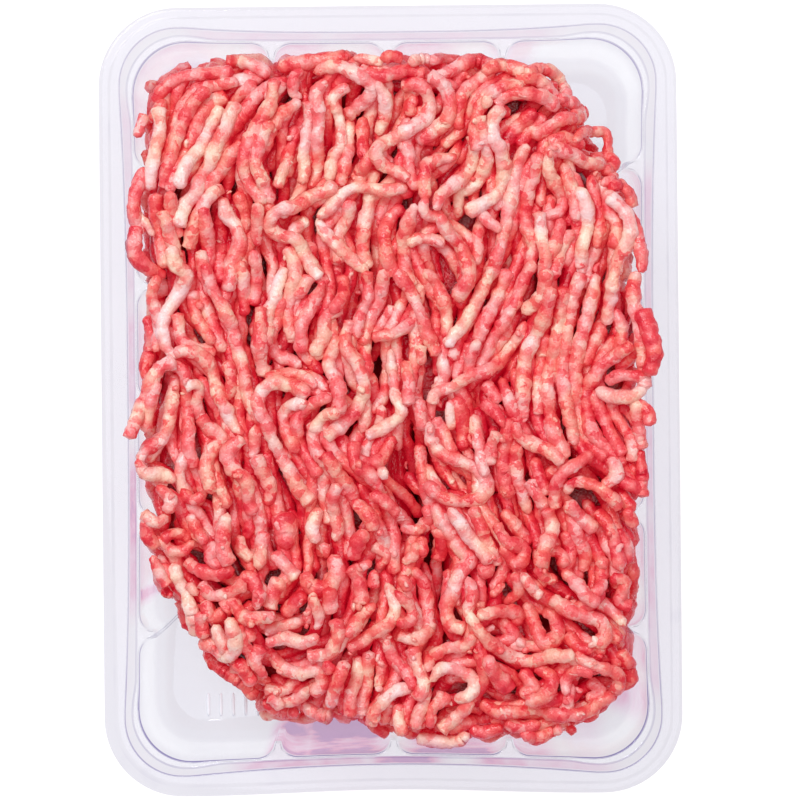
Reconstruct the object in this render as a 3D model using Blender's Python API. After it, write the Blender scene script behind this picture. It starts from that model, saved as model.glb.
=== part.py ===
"""Clear plastic retail tray filled with a heap of raw minced meat.

Units are metres, +Z is up and the tray's long side runs along Y. The tray is one
thermoformed sheet: a flat sealing flange, a sloping step down to a narrow ledge, and
a deep cavity whose walls carry inward pillars. The meat is one uneven heap that lies
on the cavity's floor.
"""

import math

import bmesh
import bpy
from mathutils import Vector, noise

MM = 0.001

# Driving dimensions of the tray
TRAY_WIDTH = 137.0 * MM
TRAY_LENGTH = 187.0 * MM
TRAY_HEIGHT = 42.0 * MM
SHEET = 0.5 * MM  # plastic sheet thickness
LIP_DROP = 1.3 * MM  # how far the flange's outer edge turns down
LIP_ROUND = 0.6 * MM

# Insets from the tray's outer edge to each bend of the rim, and their corner radii
FLANGE_RADIUS = 18.6 * MM
STEP_TOP_INSET = 5.1 * MM
STEP_TOP_RADIUS = 13.4 * MM
STEP_FOOT_INSET = 6.5 * MM
STEP_FOOT_RADIUS = 12.8 * MM
CAVITY_INSET = 8.1 * MM
CAVITY_RADIUS = 12.4 * MM
LEDGE_DROP = 4.0 * MM  # from the flange down to the ledge
STEP_BOW = 1.4 * MM  # the step's top bends in at the middle of each side
CAVITY_BOW = 0.5 * MM
LEDGE_JOG = 0.8 * MM  # the ledge is wider in the corners by this much
LEDGE_JOG_RUN = 8.0 * MM
NEAR_FLEX = 1.2 * MM  # the near short side's rim is pressed in by this at its middle
NEAR_FLEX_REACH = 24.0 * MM  # how far from that side the flex is felt

# Cavity walls
WALL_DRAFT = math.radians(4.0)
FOOT_RADIUS = 6.5 * MM
PILLAR_PITCH = 27.6 * MM
PILLARS_ON_LONG_SIDE = 5
PILLARS_ON_SHORT_SIDE = 3
PILLAR_DEPTH = 3.9 * MM
PILLAR_HALF_WIDTH = 5.0 * MM
PILLAR_TIP = 0.8 * MM  # half the width of a pillar's blunt tip
PILLAR_DEPTH_AT_FOOT = 0.55  # share of the depth that is left where the foot begins
PILLAR_STEPS = (1.0, 0.66, 0.36, 0.16)  # section points, as shares of the half width

# The heap of meat
GAP = 0.3 * MM  # clearance to the tray
HEAP_CREST = 36.2 * MM
HEAP_EDGE = 33.0 * MM  # height where the top rolls over into the side
HEAP_RELIEF = 1.8 * MM
HEAP_LUMP = 13.0 * MM  # size of the lumps in the relief
HEAP_SIDES = 72
HEAP_RIPPLE = 0.7 * MM
CREASE_DEPTH = 3.5 * MM
CREASE_HALF_WIDTH = 7.0 * MM
# The crease between the heap's two streams of strands, from the far to the near side
CREASE = ((-9.0, 71.0), (-2.5, 9.5), (5.5, -19.0), (11.0, -52.0))
# The heap's rim seen from above, clockwise from the far left corner
HEAP_OUTLINE = (
    (-53.0, 77.5),
    (-37.0, 80.5),
    (-9.0, 81.5),
    (20.0, 80.5),
    (39.5, 77.5),
    (47.0, 69.5),
    (54.5, 56.0),
    (59.5, 40.0),
    (62.0, 8.0),
    (59.5, -43.0),
    (54.0, -69.5),
    (44.0, -80.5),
    (9.0, -81.0),
    (-30.0, -73.5),
    (-42.5, -65.0),
    (-57.0, -39.5),
    (-61.0, -6.0),
    (-59.0, 17.0),
    (-60.5, 40.0),
    (-58.5, 68.0),
)
CORNER_STEPS = 6
FLOOR_TOP = SHEET


def clear_scene():
    for old in list(bpy.data.objects):
        bpy.data.objects.remove(old, do_unlink=True)


def make_material(name, colour, roughness, alpha=1.0, transmission=0.0):
    material = bpy.data.materials.new(name)
    material.use_nodes = True
    shader = material.node_tree.nodes["Principled BSDF"]
    shader.inputs["Base Color"].default_value = (*colour, 1.0)
    shader.inputs["Roughness"].default_value = roughness
    shader.inputs["Metallic"].default_value = 0.0
    shader.inputs["Alpha"].default_value = alpha
    shader.inputs["Transmission Weight"].default_value = transmission
    return material


def smoothstep(value):
    value = min(1.0, max(0.0, value))
    return value * value * (3.0 - 2.0 * value)


def pillar_centres(count):
    return [PILLAR_PITCH * (index - (count - 1) / 2) for index in range(count)]


def pillar_depth(along, centres):
    """How far the wall stands in at a place on a side: lobes with round corners."""
    offset = min(abs(along - centre) for centre in centres)
    reach = (PILLAR_HALF_WIDTH - offset) / (PILLAR_HALF_WIDTH - PILLAR_TIP)
    reach = min(1.0, max(0.0, reach))
    return PILLAR_DEPTH * (1.0 - math.sqrt(1.0 - reach * reach))


def side_stations(straight_half, count):
    """Places along one side where every ring of the tray has a point."""
    places = set()
    for centre in pillar_centres(count):
        for share in PILLAR_STEPS:
            places.add(round(centre - share * PILLAR_HALF_WIDTH, 7))
            places.add(round(centre + share * PILLAR_HALF_WIDTH, 7))
    for run in (LEDGE_JOG_RUN, LEDGE_JOG_RUN / 2):
        places.add(round(straight_half - run, 7))
        places.add(round(run - straight_half, 7))
    return sorted(places)


def near_flex(point, height):
    """Shift of the near side's rim, fading out down the wall and along the side."""
    straight_half = TRAY_WIDTH / 2 - CAVITY_INSET - CAVITY_RADIUS
    across = smoothstep(1.0 - abs(point.x) / straight_half)
    nearness = smoothstep((-point.y - TRAY_LENGTH / 2) / NEAR_FLEX_REACH + 1.0)
    return NEAR_FLEX * across * nearness * smoothstep(height / TRAY_HEIGHT)


def ring(inset, radius, height, bow=0.0, jog=0.0, pillars=0.0):
    """One closed loop round the tray, anticlockwise seen from above."""
    half_x = TRAY_WIDTH / 2 - inset
    half_y = TRAY_LENGTH / 2 - inset
    straight_x = TRAY_WIDTH / 2 - CAVITY_INSET - CAVITY_RADIUS
    straight_y = TRAY_LENGTH / 2 - CAVITY_INSET - CAVITY_RADIUS
    sides = (
        (straight_y, half_x, PILLARS_ON_LONG_SIDE),
        (straight_x, half_y, PILLARS_ON_SHORT_SIDE),
    )
    points = []
    for quarter in range(4):
        straight, reach, count = sides[quarter % 2]
        other_reach = sides[(quarter + 1) % 2][1]
        centres = pillar_centres(count)
        turn = quarter * math.pi / 2
        outward = Vector((math.cos(turn), math.sin(turn), 0.0))
        onward = Vector((-math.sin(turn), math.cos(turn), 0.0))
        for along in side_stations(straight, count):
            inward = bow * math.cos(math.pi / 2 * along / straight) ** 2
            inward += jog * smoothstep((straight - abs(along)) / LEDGE_JOG_RUN)
            inward += pillars * pillar_depth(along, centres)
            points.append(outward * (reach - inward) + onward * along)
        middle = outward * (reach - radius) + onward * (other_reach - radius)
        for step in range(CORNER_STEPS + 1):
            angle = math.pi / 2 * step / CORNER_STEPS
            arm = outward * math.cos(angle) + onward * math.sin(angle)
            points.append(middle + arm * radius)
    return [(p.x, p.y + near_flex(p, height), height) for p in points]


def wall_inset(height):
    """Inset of the cavity wall from the tray's edge at a height above the foot."""
    ledge = TRAY_HEIGHT - LEDGE_DROP
    return CAVITY_INSET + (ledge - height) * math.tan(WALL_DRAFT)


def tray_rings():
    """The sheet's upper surface, from the flange's lip down to the floor."""
    ledge = TRAY_HEIGHT - LEDGE_DROP
    rings = [
        ring(0.0, FLANGE_RADIUS, TRAY_HEIGHT - LIP_DROP),
        ring(0.0, FLANGE_RADIUS, TRAY_HEIGHT - LIP_ROUND),
        ring(LIP_ROUND, FLANGE_RADIUS - LIP_ROUND, TRAY_HEIGHT),
        ring(STEP_TOP_INSET, STEP_TOP_RADIUS, TRAY_HEIGHT, bow=STEP_BOW),
        ring(
            STEP_FOOT_INSET, STEP_FOOT_RADIUS, ledge, bow=CAVITY_BOW, jog=LEDGE_JOG
        ),
        ring(CAVITY_INSET, CAVITY_RADIUS, ledge, bow=CAVITY_BOW, pillars=1.0),
    ]
    foot_top = FLOOR_TOP + FOOT_RADIUS
    foot_inset = wall_inset(foot_top)
    corner = CAVITY_RADIUS - (foot_inset - CAVITY_INSET)
    for degrees in (0.0, 30.0, 60.0, 90.0):
        turn = math.radians(degrees)
        inward = FOOT_RADIUS * (1.0 - math.cos(turn))
        rings.append(
            ring(
                foot_inset + inward,
                corner - inward * 0.5,
                foot_top - FOOT_RADIUS * math.sin(turn),
                bow=CAVITY_BOW * (1.0 - degrees / 90.0),
                pillars=PILLAR_DEPTH_AT_FOOT * math.cos(turn),
            )
        )
    return rings


def loft(name, rings, material, close_first=False):
    """A mesh object skinned over rings of equal length, with its last ring filled."""
    mesh = bpy.data.meshes.new(name)
    shape = bmesh.new()
    loops = [[shape.verts.new(point) for point in loop] for loop in rings]
    for upper, lower in zip(loops, loops[1:]):
        for index in range(len(upper)):
            following = (index + 1) % len(upper)
            shape.faces.new(
                (upper[index], lower[index], lower[following], upper[following])
            )
    shape.faces.new(loops[-1])
    if close_first:
        shape.faces.new(loops[0])
    bmesh.ops.recalc_face_normals(shape, faces=shape.faces[:])
    shape.to_mesh(mesh)
    shape.free()
    mesh.materials.append(material)
    mesh.shade_smooth()
    mesh.set_sharp_from_angle(angle=math.radians(35.0))
    solid = bpy.data.objects.new(name, mesh)
    bpy.context.collection.objects.link(solid)
    return solid


def build_tray():
    plastic = make_material("clear_plastic", (0.93, 0.92, 0.96), 0.08, 0.35, 0.9)
    tray = loft("tray", tray_rings(), plastic)
    # The open surface's normals are made to point up, into the tray
    floor = max(tray.data.polygons, key=lambda face: face.area)
    if floor.normal.z < 0.0:
        tray.data.flip_normals()
    sheet = tray.modifiers.new("sheet thickness", "SOLIDIFY")
    sheet.thickness = SHEET
    sheet.offset = -1.0
    sheet.use_even_offset = True
    return tray


def closed_spline(points, samples):
    """Even steps of a smooth closed curve through a few points."""
    count = len(points)
    curve = []
    for sample in range(samples):
        place = sample / samples * count
        index = int(place)
        t = place - index
        before, start, end, after = (
            Vector(points[(index + shift) % count]) for shift in (-1, 0, 1, 2)
        )
        curve.append(
            0.5
            * (
                2.0 * start
                + (end - before) * t
                + (2.0 * before - 5.0 * start + 4.0 * end - after) * t**2
                + (3.0 * start - before - 3.0 * end + after) * t**3
            )
        )
    return curve


def keep_inside(point, inset, radius):
    """Pulls a point into the rounded rectangle at an inset from the tray's edge."""
    half_x = TRAY_WIDTH / 2 - inset
    half_y = TRAY_LENGTH / 2 - inset
    x = min(half_x, max(-half_x, point.x))
    y = min(half_y, max(-half_y, point.y))
    over_x = abs(x) - (half_x - radius)
    over_y = abs(y) - (half_y - radius)
    if over_x > 0.0 and over_y > 0.0:
        distance = math.hypot(over_x, over_y)
        if distance > radius:
            x = math.copysign(half_x - radius + over_x * radius / distance, x)
            y = math.copysign(half_y - radius + over_y * radius / distance, y)
    return Vector((x, y))


def distance_to_crease(place):
    nearest = []
    for start, end in zip(CREASE, CREASE[1:]):
        start = Vector(start) * MM
        run = Vector(end) * MM - start
        share = min(1.0, max(0.0, (place - start).dot(run) / run.length_squared))
        nearest.append((place - start - run * share).length)
    return min(nearest)


def heap_relief(x, y):
    """Lumpy unevenness with the crease cut in, the same each run."""
    lumps = HEAP_RELIEF * noise.noise(Vector((x, y, 0.0)) / HEAP_LUMP)
    nearness = 1.0 - distance_to_crease(Vector((x, y))) / CREASE_HALF_WIDTH
    return lumps - CREASE_DEPTH * smoothstep(nearness)


def heap_rings():
    """The heap from its flat underside, up its side and over its top."""
    rim = closed_spline([Vector(p) * MM for p in HEAP_OUTLINE], HEAP_SIDES)
    tip_inset = CAVITY_INSET + PILLAR_DEPTH + CAVITY_BOW + 2 * GAP
    floor_inset = wall_inset(FLOOR_TOP + FOOT_RADIUS) + FOOT_RADIUS + GAP
    corner = CAVITY_RADIUS - PILLAR_DEPTH
    below = FLOOR_TOP + GAP
    # height, inset that the ring stays inside, share of the outline
    levels = (
        (below, floor_inset, 0.955),
        (below + 0.55 * FOOT_RADIUS, floor_inset, 0.985),
        (below + 1.4 * FOOT_RADIUS, tip_inset + 1.8 * MM, 0.99),
        (below + 0.5 * HEAP_EDGE, tip_inset + 1.2 * MM, 0.985),
        (HEAP_EDGE - 4.0 * MM, tip_inset + 0.4 * MM, 0.985),
        (HEAP_EDGE, tip_inset + 0.6 * MM, 0.965),
    )
    rings = []
    for level, (height, inset, share) in enumerate(levels):
        loop = []
        for index, point in enumerate(rim):
            ripple = HEAP_RIPPLE * noise.noise(Vector((index * 0.9, level * 1.7, 0.5)))
            place = point * share - point.normalized() * (HEAP_RIPPLE + ripple)
            place = keep_inside(place, inset, corner)
            lift = heap_relief(place.x, place.y) if level > 1 else 0.0
            loop.append((place.x, place.y, height + lift))
        rings.append(loop)
    shoulder = rings[-1]
    for share in (0.94, 0.87, 0.78, 0.68, 0.57, 0.46, 0.35, 0.24, 0.13):
        loop = []
        for x, y, _ in shoulder:
            rise = math.sqrt(1.0 - share**4)
            height = HEAP_EDGE + (HEAP_CREST - HEAP_EDGE) * rise
            height += heap_relief(x * share, y * share)
            loop.append((x * share, y * share, height))
        rings.append(loop)
    return rings


def build_mince():
    meat = make_material("raw_mince", (0.62, 0.13, 0.11), 0.35)
    return loft("mince", heap_rings(), meat, close_first=True)


clear_scene()
build_tray()
build_mince()
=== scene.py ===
"""Looks of the clear plastic tray and its heap of raw minced meat.

Lengths are in millimetres until a mesh is made, where they become metres. The tray is
skinned over rings whose sizes start from the CAD tray's box. The meat is laid strand by
strand: each strand drapes over a height map of what lies below it and is then stamped
into that map. The strands of the sides come first, then the hidden filling, then the top
layer, whose routes are given one by one, then crumbs.
"""

import math

import bpy
import numpy as np
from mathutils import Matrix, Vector


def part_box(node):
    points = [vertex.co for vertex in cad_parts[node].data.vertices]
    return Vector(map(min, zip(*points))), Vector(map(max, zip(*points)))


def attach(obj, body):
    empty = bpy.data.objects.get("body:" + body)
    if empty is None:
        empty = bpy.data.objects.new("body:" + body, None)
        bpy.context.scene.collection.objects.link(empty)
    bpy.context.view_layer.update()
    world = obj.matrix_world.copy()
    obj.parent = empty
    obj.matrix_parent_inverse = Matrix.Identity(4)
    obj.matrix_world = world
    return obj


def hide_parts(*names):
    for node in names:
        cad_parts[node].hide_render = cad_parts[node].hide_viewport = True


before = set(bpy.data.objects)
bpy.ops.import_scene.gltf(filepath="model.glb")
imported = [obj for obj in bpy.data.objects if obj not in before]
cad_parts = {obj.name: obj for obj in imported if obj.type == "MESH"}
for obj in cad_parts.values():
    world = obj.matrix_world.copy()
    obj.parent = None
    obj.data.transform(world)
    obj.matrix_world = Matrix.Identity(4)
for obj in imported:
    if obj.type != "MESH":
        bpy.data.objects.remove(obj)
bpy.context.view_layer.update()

MM = 0.001
ROOT = "root"
rng = np.random.default_rng(7)

# ---------------------------------------------------------------- tray dimensions (mm)
tray_low, tray_high = (np.array(corner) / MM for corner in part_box("tray"))
HALF_X = (tray_high[0] - tray_low[0]) / 2
HALF_Y = (tray_high[1] - tray_low[1]) / 2
RIM = tray_high[2]
SHEET = 0.5
LEDGE = RIM - 4.0
LIP_DROP = 1.5
FLANGE_RADIUS = 18.6
GROOVE_INSET = 2.4
STEP_TOP = (5.1, 13.4)  # inset from the edge, corner radius
STEP_FOOT = (6.5, 12.8)
CAVITY = (8.1, 12.4)
STEP_BOW = 1.4
CAVITY_BOW = 0.5
LEDGE_JOG = 0.8
LEDGE_JOG_RUN = 8.0
NEAR_FLEX = 1.2
NEAR_FLEX_REACH = 24.0
WALL_DRAFT = math.tan(math.radians(4.0))
FOOT_RADIUS = 6.5
PILLAR_PITCH = 27.6
PILLARS = {"long": 5, "short": 3}
PILLAR_DEPTH = 3.9
PILLAR_HALF_WIDTH = 5.0
PILLAR_TIP = 0.8
PILLAR_DEPTH_AT_FOOT = 0.55
STRAIGHT_X = HALF_X - CAVITY[0] - CAVITY[1]
STRAIGHT_Y = HALF_Y - CAVITY[0] - CAVITY[1]

# ---------------------------------------------------------------- heap dimensions (mm)
FLOOR = SHEET + 0.3
HEAP_CREST = 34.5  # of the filling, before the top layer is laid
STRAND_RADIUS = 1.5
CELL = 0.4  # height map's cell
MAP_X = 70.0
MAP_Y = 94.0
# The heap's rim seen from above, clockwise from the far left corner
HEAP_OUTLINE = (
    (-55.0, 77.0),
    (-37.0, 81.0),
    (-9.0, 82.0),
    (20.0, 81.0),
    (38.0, 78.0),
    (46.0, 69.0),
    (50.5, 58.0),
    (57.0, 47.0),
    (60.0, 30.0),
    (61.0, 8.0),
    (60.0, -25.0),
    (57.5, -48.0),
    (55.0, -68.0),
    (44.0, -79.5),
    (26.0, -81.0),
    (2.0, -80.5),
    (-16.0, -76.5),
    (-30.0, -74.0),
    (-44.0, -62.0),
    (-52.0, -50.0),
    (-58.0, -35.0),
    (-61.0, -6.0),
    (-58.5, 17.0),
    (-60.5, 40.0),
    (-58.5, 62.0),
)
# Crevices in the filling: depth, half width, then the route seen from above
CREVICES = (
    (3.0, 7.0, (-9.0, 71.0), (-2.5, 9.5), (5.5, -19.0), (10.5, -54.0)),
    (8.0, 3.6, (7.5, -8.0), (6.0, -17.0), (7.5, -27.0), (10.0, -38.0), (10.5, -50.0), (8.5, -61.0)),
    (6.5, 3.0, (-8.0, 69.0), (-7.5, 62.0), (-8.5, 55.0)),
    (4.5, 3.0, (-40.5, 52.0), (-40.5, 42.0), (-41.5, 32.0)),
    (4.5, 3.0, (-30.0, 36.0), (-31.0, 24.0)),
    (6.5, 3.0, (-23.5, 15.0), (-23.0, 9.0)),
    (6.5, 3.0, (-3.5, 11.0), (-5.0, 2.0), (-9.0, -6.0)),
    (5.0, 3.0, (33.0, -47.0), (36.5, -54.0)),
    (4.0, 3.0, (24.0, 3.0), (26.0, -3.0)),
    (4.0, 3.0, (47.0, 44.0), (48.0, 34.0)),
)

# ------------------------------------------------------------------- the top layer (mm)
# Each strand: fat from 0, lean, to 1, cream; radius; then the points of its route seen
# from above. They are in the order in which they were laid, lowest first, by zone.
TOP_FAR_LEFT = (
    (0.4, 1.5, (-57.5, 68.5), (-59.0, 66.0), (-60.0, 63.0)),
    (0.3, 1.7, (-58.0, 56.0), (-59.8, 50.0), (-60.3, 45.0), (-58.8, 40.0)),
    (0.2, 1.9, (-60.0, 42.0), (-60.5, 36.0), (-57.5, 32.0), (-53.5, 30.0)),
    (0.3, 1.7, (-36.5, 78.8), (-45.0, 78.3), (-52.0, 76.0), (-56.0, 71.5)),
    (0.4, 1.6, (-35.5, 76.5), (-43.5, 75.3), (-48.5, 71.0), (-51.0, 64.0), (-53.0, 56.0)),
    (0.4, 1.6, (-42.5, 74.5), (-46.5, 71.0), (-50.0, 64.5), (-52.0, 57.5), (-53.5, 51.0)),
    (0.3, 1.7, (-38.5, 73.5), (-43.0, 71.0), (-46.5, 64.0), (-49.5, 57.0), (-52.5, 50.0)),
    (0.9, 1.6, (-54.8, 70.5), (-54.6, 64.0), (-55.8, 57.0), (-57.2, 50.5)),
    (0.3, 1.7, (-51.5, 50.0), (-52.0, 45.0), (-50.0, 39.0)),
    (0.3, 1.7, (-55.5, 50.0), (-55.5, 44.0), (-54.0, 38.0), (-54.0, 32.0)),
    (0.9, 1.2, (-59.5, 45.0), (-57.5, 42.0), (-56.2, 39.5)),
    (0.6, 1.7, (-53.5, 45.5), (-52.5, 40.0), (-51.0, 35.0), (-50.0, 31.0)),
    (0.3, 1.8, (-24.0, 77.0), (-30.0, 74.0), (-34.5, 69.0), (-38.0, 64.0), (-40.5, 58.0)),
    (0.3, 1.8, (-35.0, 62.0), (-38.0, 58.0), (-41.5, 53.5), (-44.0, 50.0)),
    (0.5, 1.7, (-39.6, 51.6), (-43.0, 48.5), (-46.0, 43.0), (-48.0, 36.5)),
    (0.2, 1.7, (-43.5, 46.0), (-43.5, 40.0), (-43.5, 34.0), (-44.5, 28.0)),
    (0.2, 1.7, (-40.0, 47.0), (-40.5, 40.0), (-40.5, 33.0), (-40.0, 28.0)),
    (0.95, 1.7, (-39.5, 70.5), (-43.0, 65.0), (-45.0, 60.5), (-48.5, 55.5), (-50.0, 50.5)),
    (0.8, 1.8, (-36.0, 71.5), (-38.0, 66.0), (-41.0, 60.0), (-44.0, 54.0), (-49.0, 45.0),
     (-50.5, 41.5)),
    (0.4, 1.5, (-39.0, 81.5), (-35.5, 81.6), (-31.5, 80.2), (-28.3, 78.0)),
    (0.3, 1.8, (-26.5, 79.8), (-21.5, 80.6), (-15.0, 81.6), (-9.0, 82.0)),
    (0.5, 1.7, (-24.5, 75.5), (-27.5, 73.0), (-26.0, 71.0)),
    (0.2, 1.6, (-22.0, 66.0), (-23.5, 61.0), (-24.5, 56.5), (-25.0, 51.5)),
    (0.8, 1.6, (-23.5, 58.0), (-25.5, 54.5), (-26.7, 51.0)),
    (0.6, 1.6, (-19.8, 78.5), (-22.3, 77.3), (-22.4, 73.8), (-20.5, 72.3)),
    (0.4, 1.6, (-20.5, 71.5), (-24.5, 68.5), (-27.5, 64.5), (-29.3, 59.5)),
    (0.7, 1.6, (-18.7, 71.5), (-19.3, 65.5), (-20.2, 59.0), (-20.6, 52.0)),
    (0.3, 1.7, (-31.5, 56.0), (-30.0, 51.0), (-28.0, 45.0)),
    (0.4, 1.7, (-28.0, 67.0), (-30.5, 62.0), (-31.3, 56.5), (-29.5, 51.5), (-27.5, 47.0)),
    (0.5, 1.7, (-26.5, 76.5), (-28.0, 71.0), (-31.5, 65.0), (-34.3, 59.0), (-34.0, 53.5),
     (-31.5, 49.5), (-29.0, 47.3)),
    (0.5, 1.6, (-31.0, 47.0), (-31.5, 42.0), (-31.3, 37.0)),
    (0.4, 1.6, (-36.0, 50.0), (-34.5, 45.0), (-34.5, 40.0)),
    (0.6, 1.8, (-39.5, 48.5), (-38.5, 45.0), (-36.0, 41.5), (-36.0, 36.5), (-37.7, 31.5),
     (-38.3, 25.8)),
)
TOP_FAR = (
    (0.8, 1.5, (-8.0, 81.6), (-4.5, 81.2), (-1.0, 80.6)),
    (0.2, 1.9, (-1.5, 81.0), (1.0, 82.0), (3.5, 81.4)),
    (0.4, 1.7, (-6.5, 79.0), (-2.0, 77.2), (4.0, 78.3), (9.0, 77.5)),
    (0.7, 1.5, (5.0, 80.5), (9.0, 81.0), (13.0, 80.4)),
    (0.2, 1.7, (-6.0, 68.0), (-6.0, 62.0), (-5.5, 57.0)),
    (0.4, 1.6, (-9.2, 67.0), (-9.4, 61.0), (-10.8, 55.5), (-11.5, 51.0)),
    (0.6, 1.7, (-14.0, 76.5), (-17.2, 73.5), (-16.4, 68.0), (-17.0, 62.0), (-17.3, 56.0),
     (-18.6, 50.5)),
    (0.7, 1.6, (-9.3, 75.5), (-12.7, 72.5), (-11.6, 67.5), (-11.2, 62.0), (-13.2, 57.0),
     (-14.5, 52.0)),
    (0.5, 1.7, (-17.5, 78.5), (-12.0, 79.4), (-7.5, 77.6), (-3.8, 74.7), (-5.5, 71.5),
     (-9.8, 68.5)),
    (0.9, 1.7, (-2.5, 76.0), (-0.8, 71.0), (-1.2, 67.0), (-2.4, 63.0)),
    (0.4, 1.6, (-8.5, 53.0), (-5.5, 56.0), (-3.5, 59.5)),
    (0.6, 1.6, (-3.3, 55.0), (-4.8, 48.5), (-5.8, 42.0), (-6.2, 36.5), (-5.5, 31.0)),
    (0.5, 1.7, (-9.3, 48.0), (-10.2, 44.0), (-12.3, 39.0), (-12.0, 33.0)),
    (0.4, 1.7, (3.5, 46.5), (0.3, 43.0), (-1.2, 38.0), (-0.5, 33.0), (1.5, 29.5)),
    (0.7, 1.5, (-19.0, 43.3), (-22.0, 41.5), (-24.2, 38.5)),
    (0.3, 1.7, (-19.0, 38.0), (-18.5, 33.0), (-15.0, 27.5)),
    (0.7, 1.7, (-17.3, 43.5), (-15.0, 39.5), (-11.5, 36.0), (-8.0, 33.0), (-5.0, 31.0)),
    (0.7, 1.5, (4.8, 50.6), (-1.0, 50.2), (-7.0, 50.7), (-11.0, 49.0), (-14.5, 45.5),
     (-17.0, 43.5)),
    (0.7, 1.7, (-12.0, 51.3), (-17.0, 49.2), (-22.0, 46.4), (-26.5, 45.3), (-28.2, 42.0),
     (-26.0, 39.5), (-22.5, 38.2), (-20.0, 34.3), (-16.5, 29.0)),
    (0.3, 1.7, (11.0, 77.0), (15.0, 78.5), (18.5, 80.8), (22.0, 81.0), (25.5, 80.0)),
    (0.3, 1.8, (17.0, 64.0), (17.0, 69.0), (17.8, 73.0), (21.0, 76.0), (25.5, 77.3)),
    (0.4, 1.7, (22.5, 78.3), (27.0, 79.8), (31.0, 79.0), (32.8, 76.5), (30.3, 74.8),
     (26.5, 75.8)),
    (0.3, 1.8, (7.0, 72.5), (5.0, 70.5), (5.6, 67.8)),
    (0.5, 1.7, (5.0, 67.0), (3.5, 62.5), (4.8, 58.5), (5.3, 54.0), (7.0, 50.0)),
    (0.5, 1.8, (9.5, 77.0), (13.2, 75.0), (15.0, 71.0), (14.3, 67.0), (11.0, 64.0),
     (6.5, 61.5)),
    (0.6, 1.7, (3.0, 75.0), (7.0, 75.3), (9.6, 72.5), (9.3, 68.0), (6.0, 65.0),
     (1.5, 62.3), (-2.6, 59.8), (-2.3, 57.0), (1.0, 54.8), (5.0, 52.5)),
    (0.5, 1.7, (16.5, 57.5), (12.5, 57.8), (9.5, 56.3), (8.6, 52.0), (9.0, 47.5)),
    (0.5, 1.7, (9.0, 48.5), (8.0, 45.0), (10.5, 43.5), (13.0, 44.5)),
    (0.6, 1.7, (6.0, 46.5), (5.0, 42.0), (3.6, 37.0), (3.8, 32.0), (6.0, 27.0)),
    (0.7, 1.6, (4.0, 37.0), (7.5, 38.6), (13.5, 37.5)),
    (0.5, 1.7, (12.0, 44.0), (14.0, 40.0), (16.8, 37.0), (18.3, 32.0), (18.3, 27.5)),
    (0.7, 1.7, (20.3, 63.0), (20.7, 58.5), (18.5, 54.0), (15.0, 51.0), (12.0, 48.3),
     (11.0, 45.0)),
)
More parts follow.
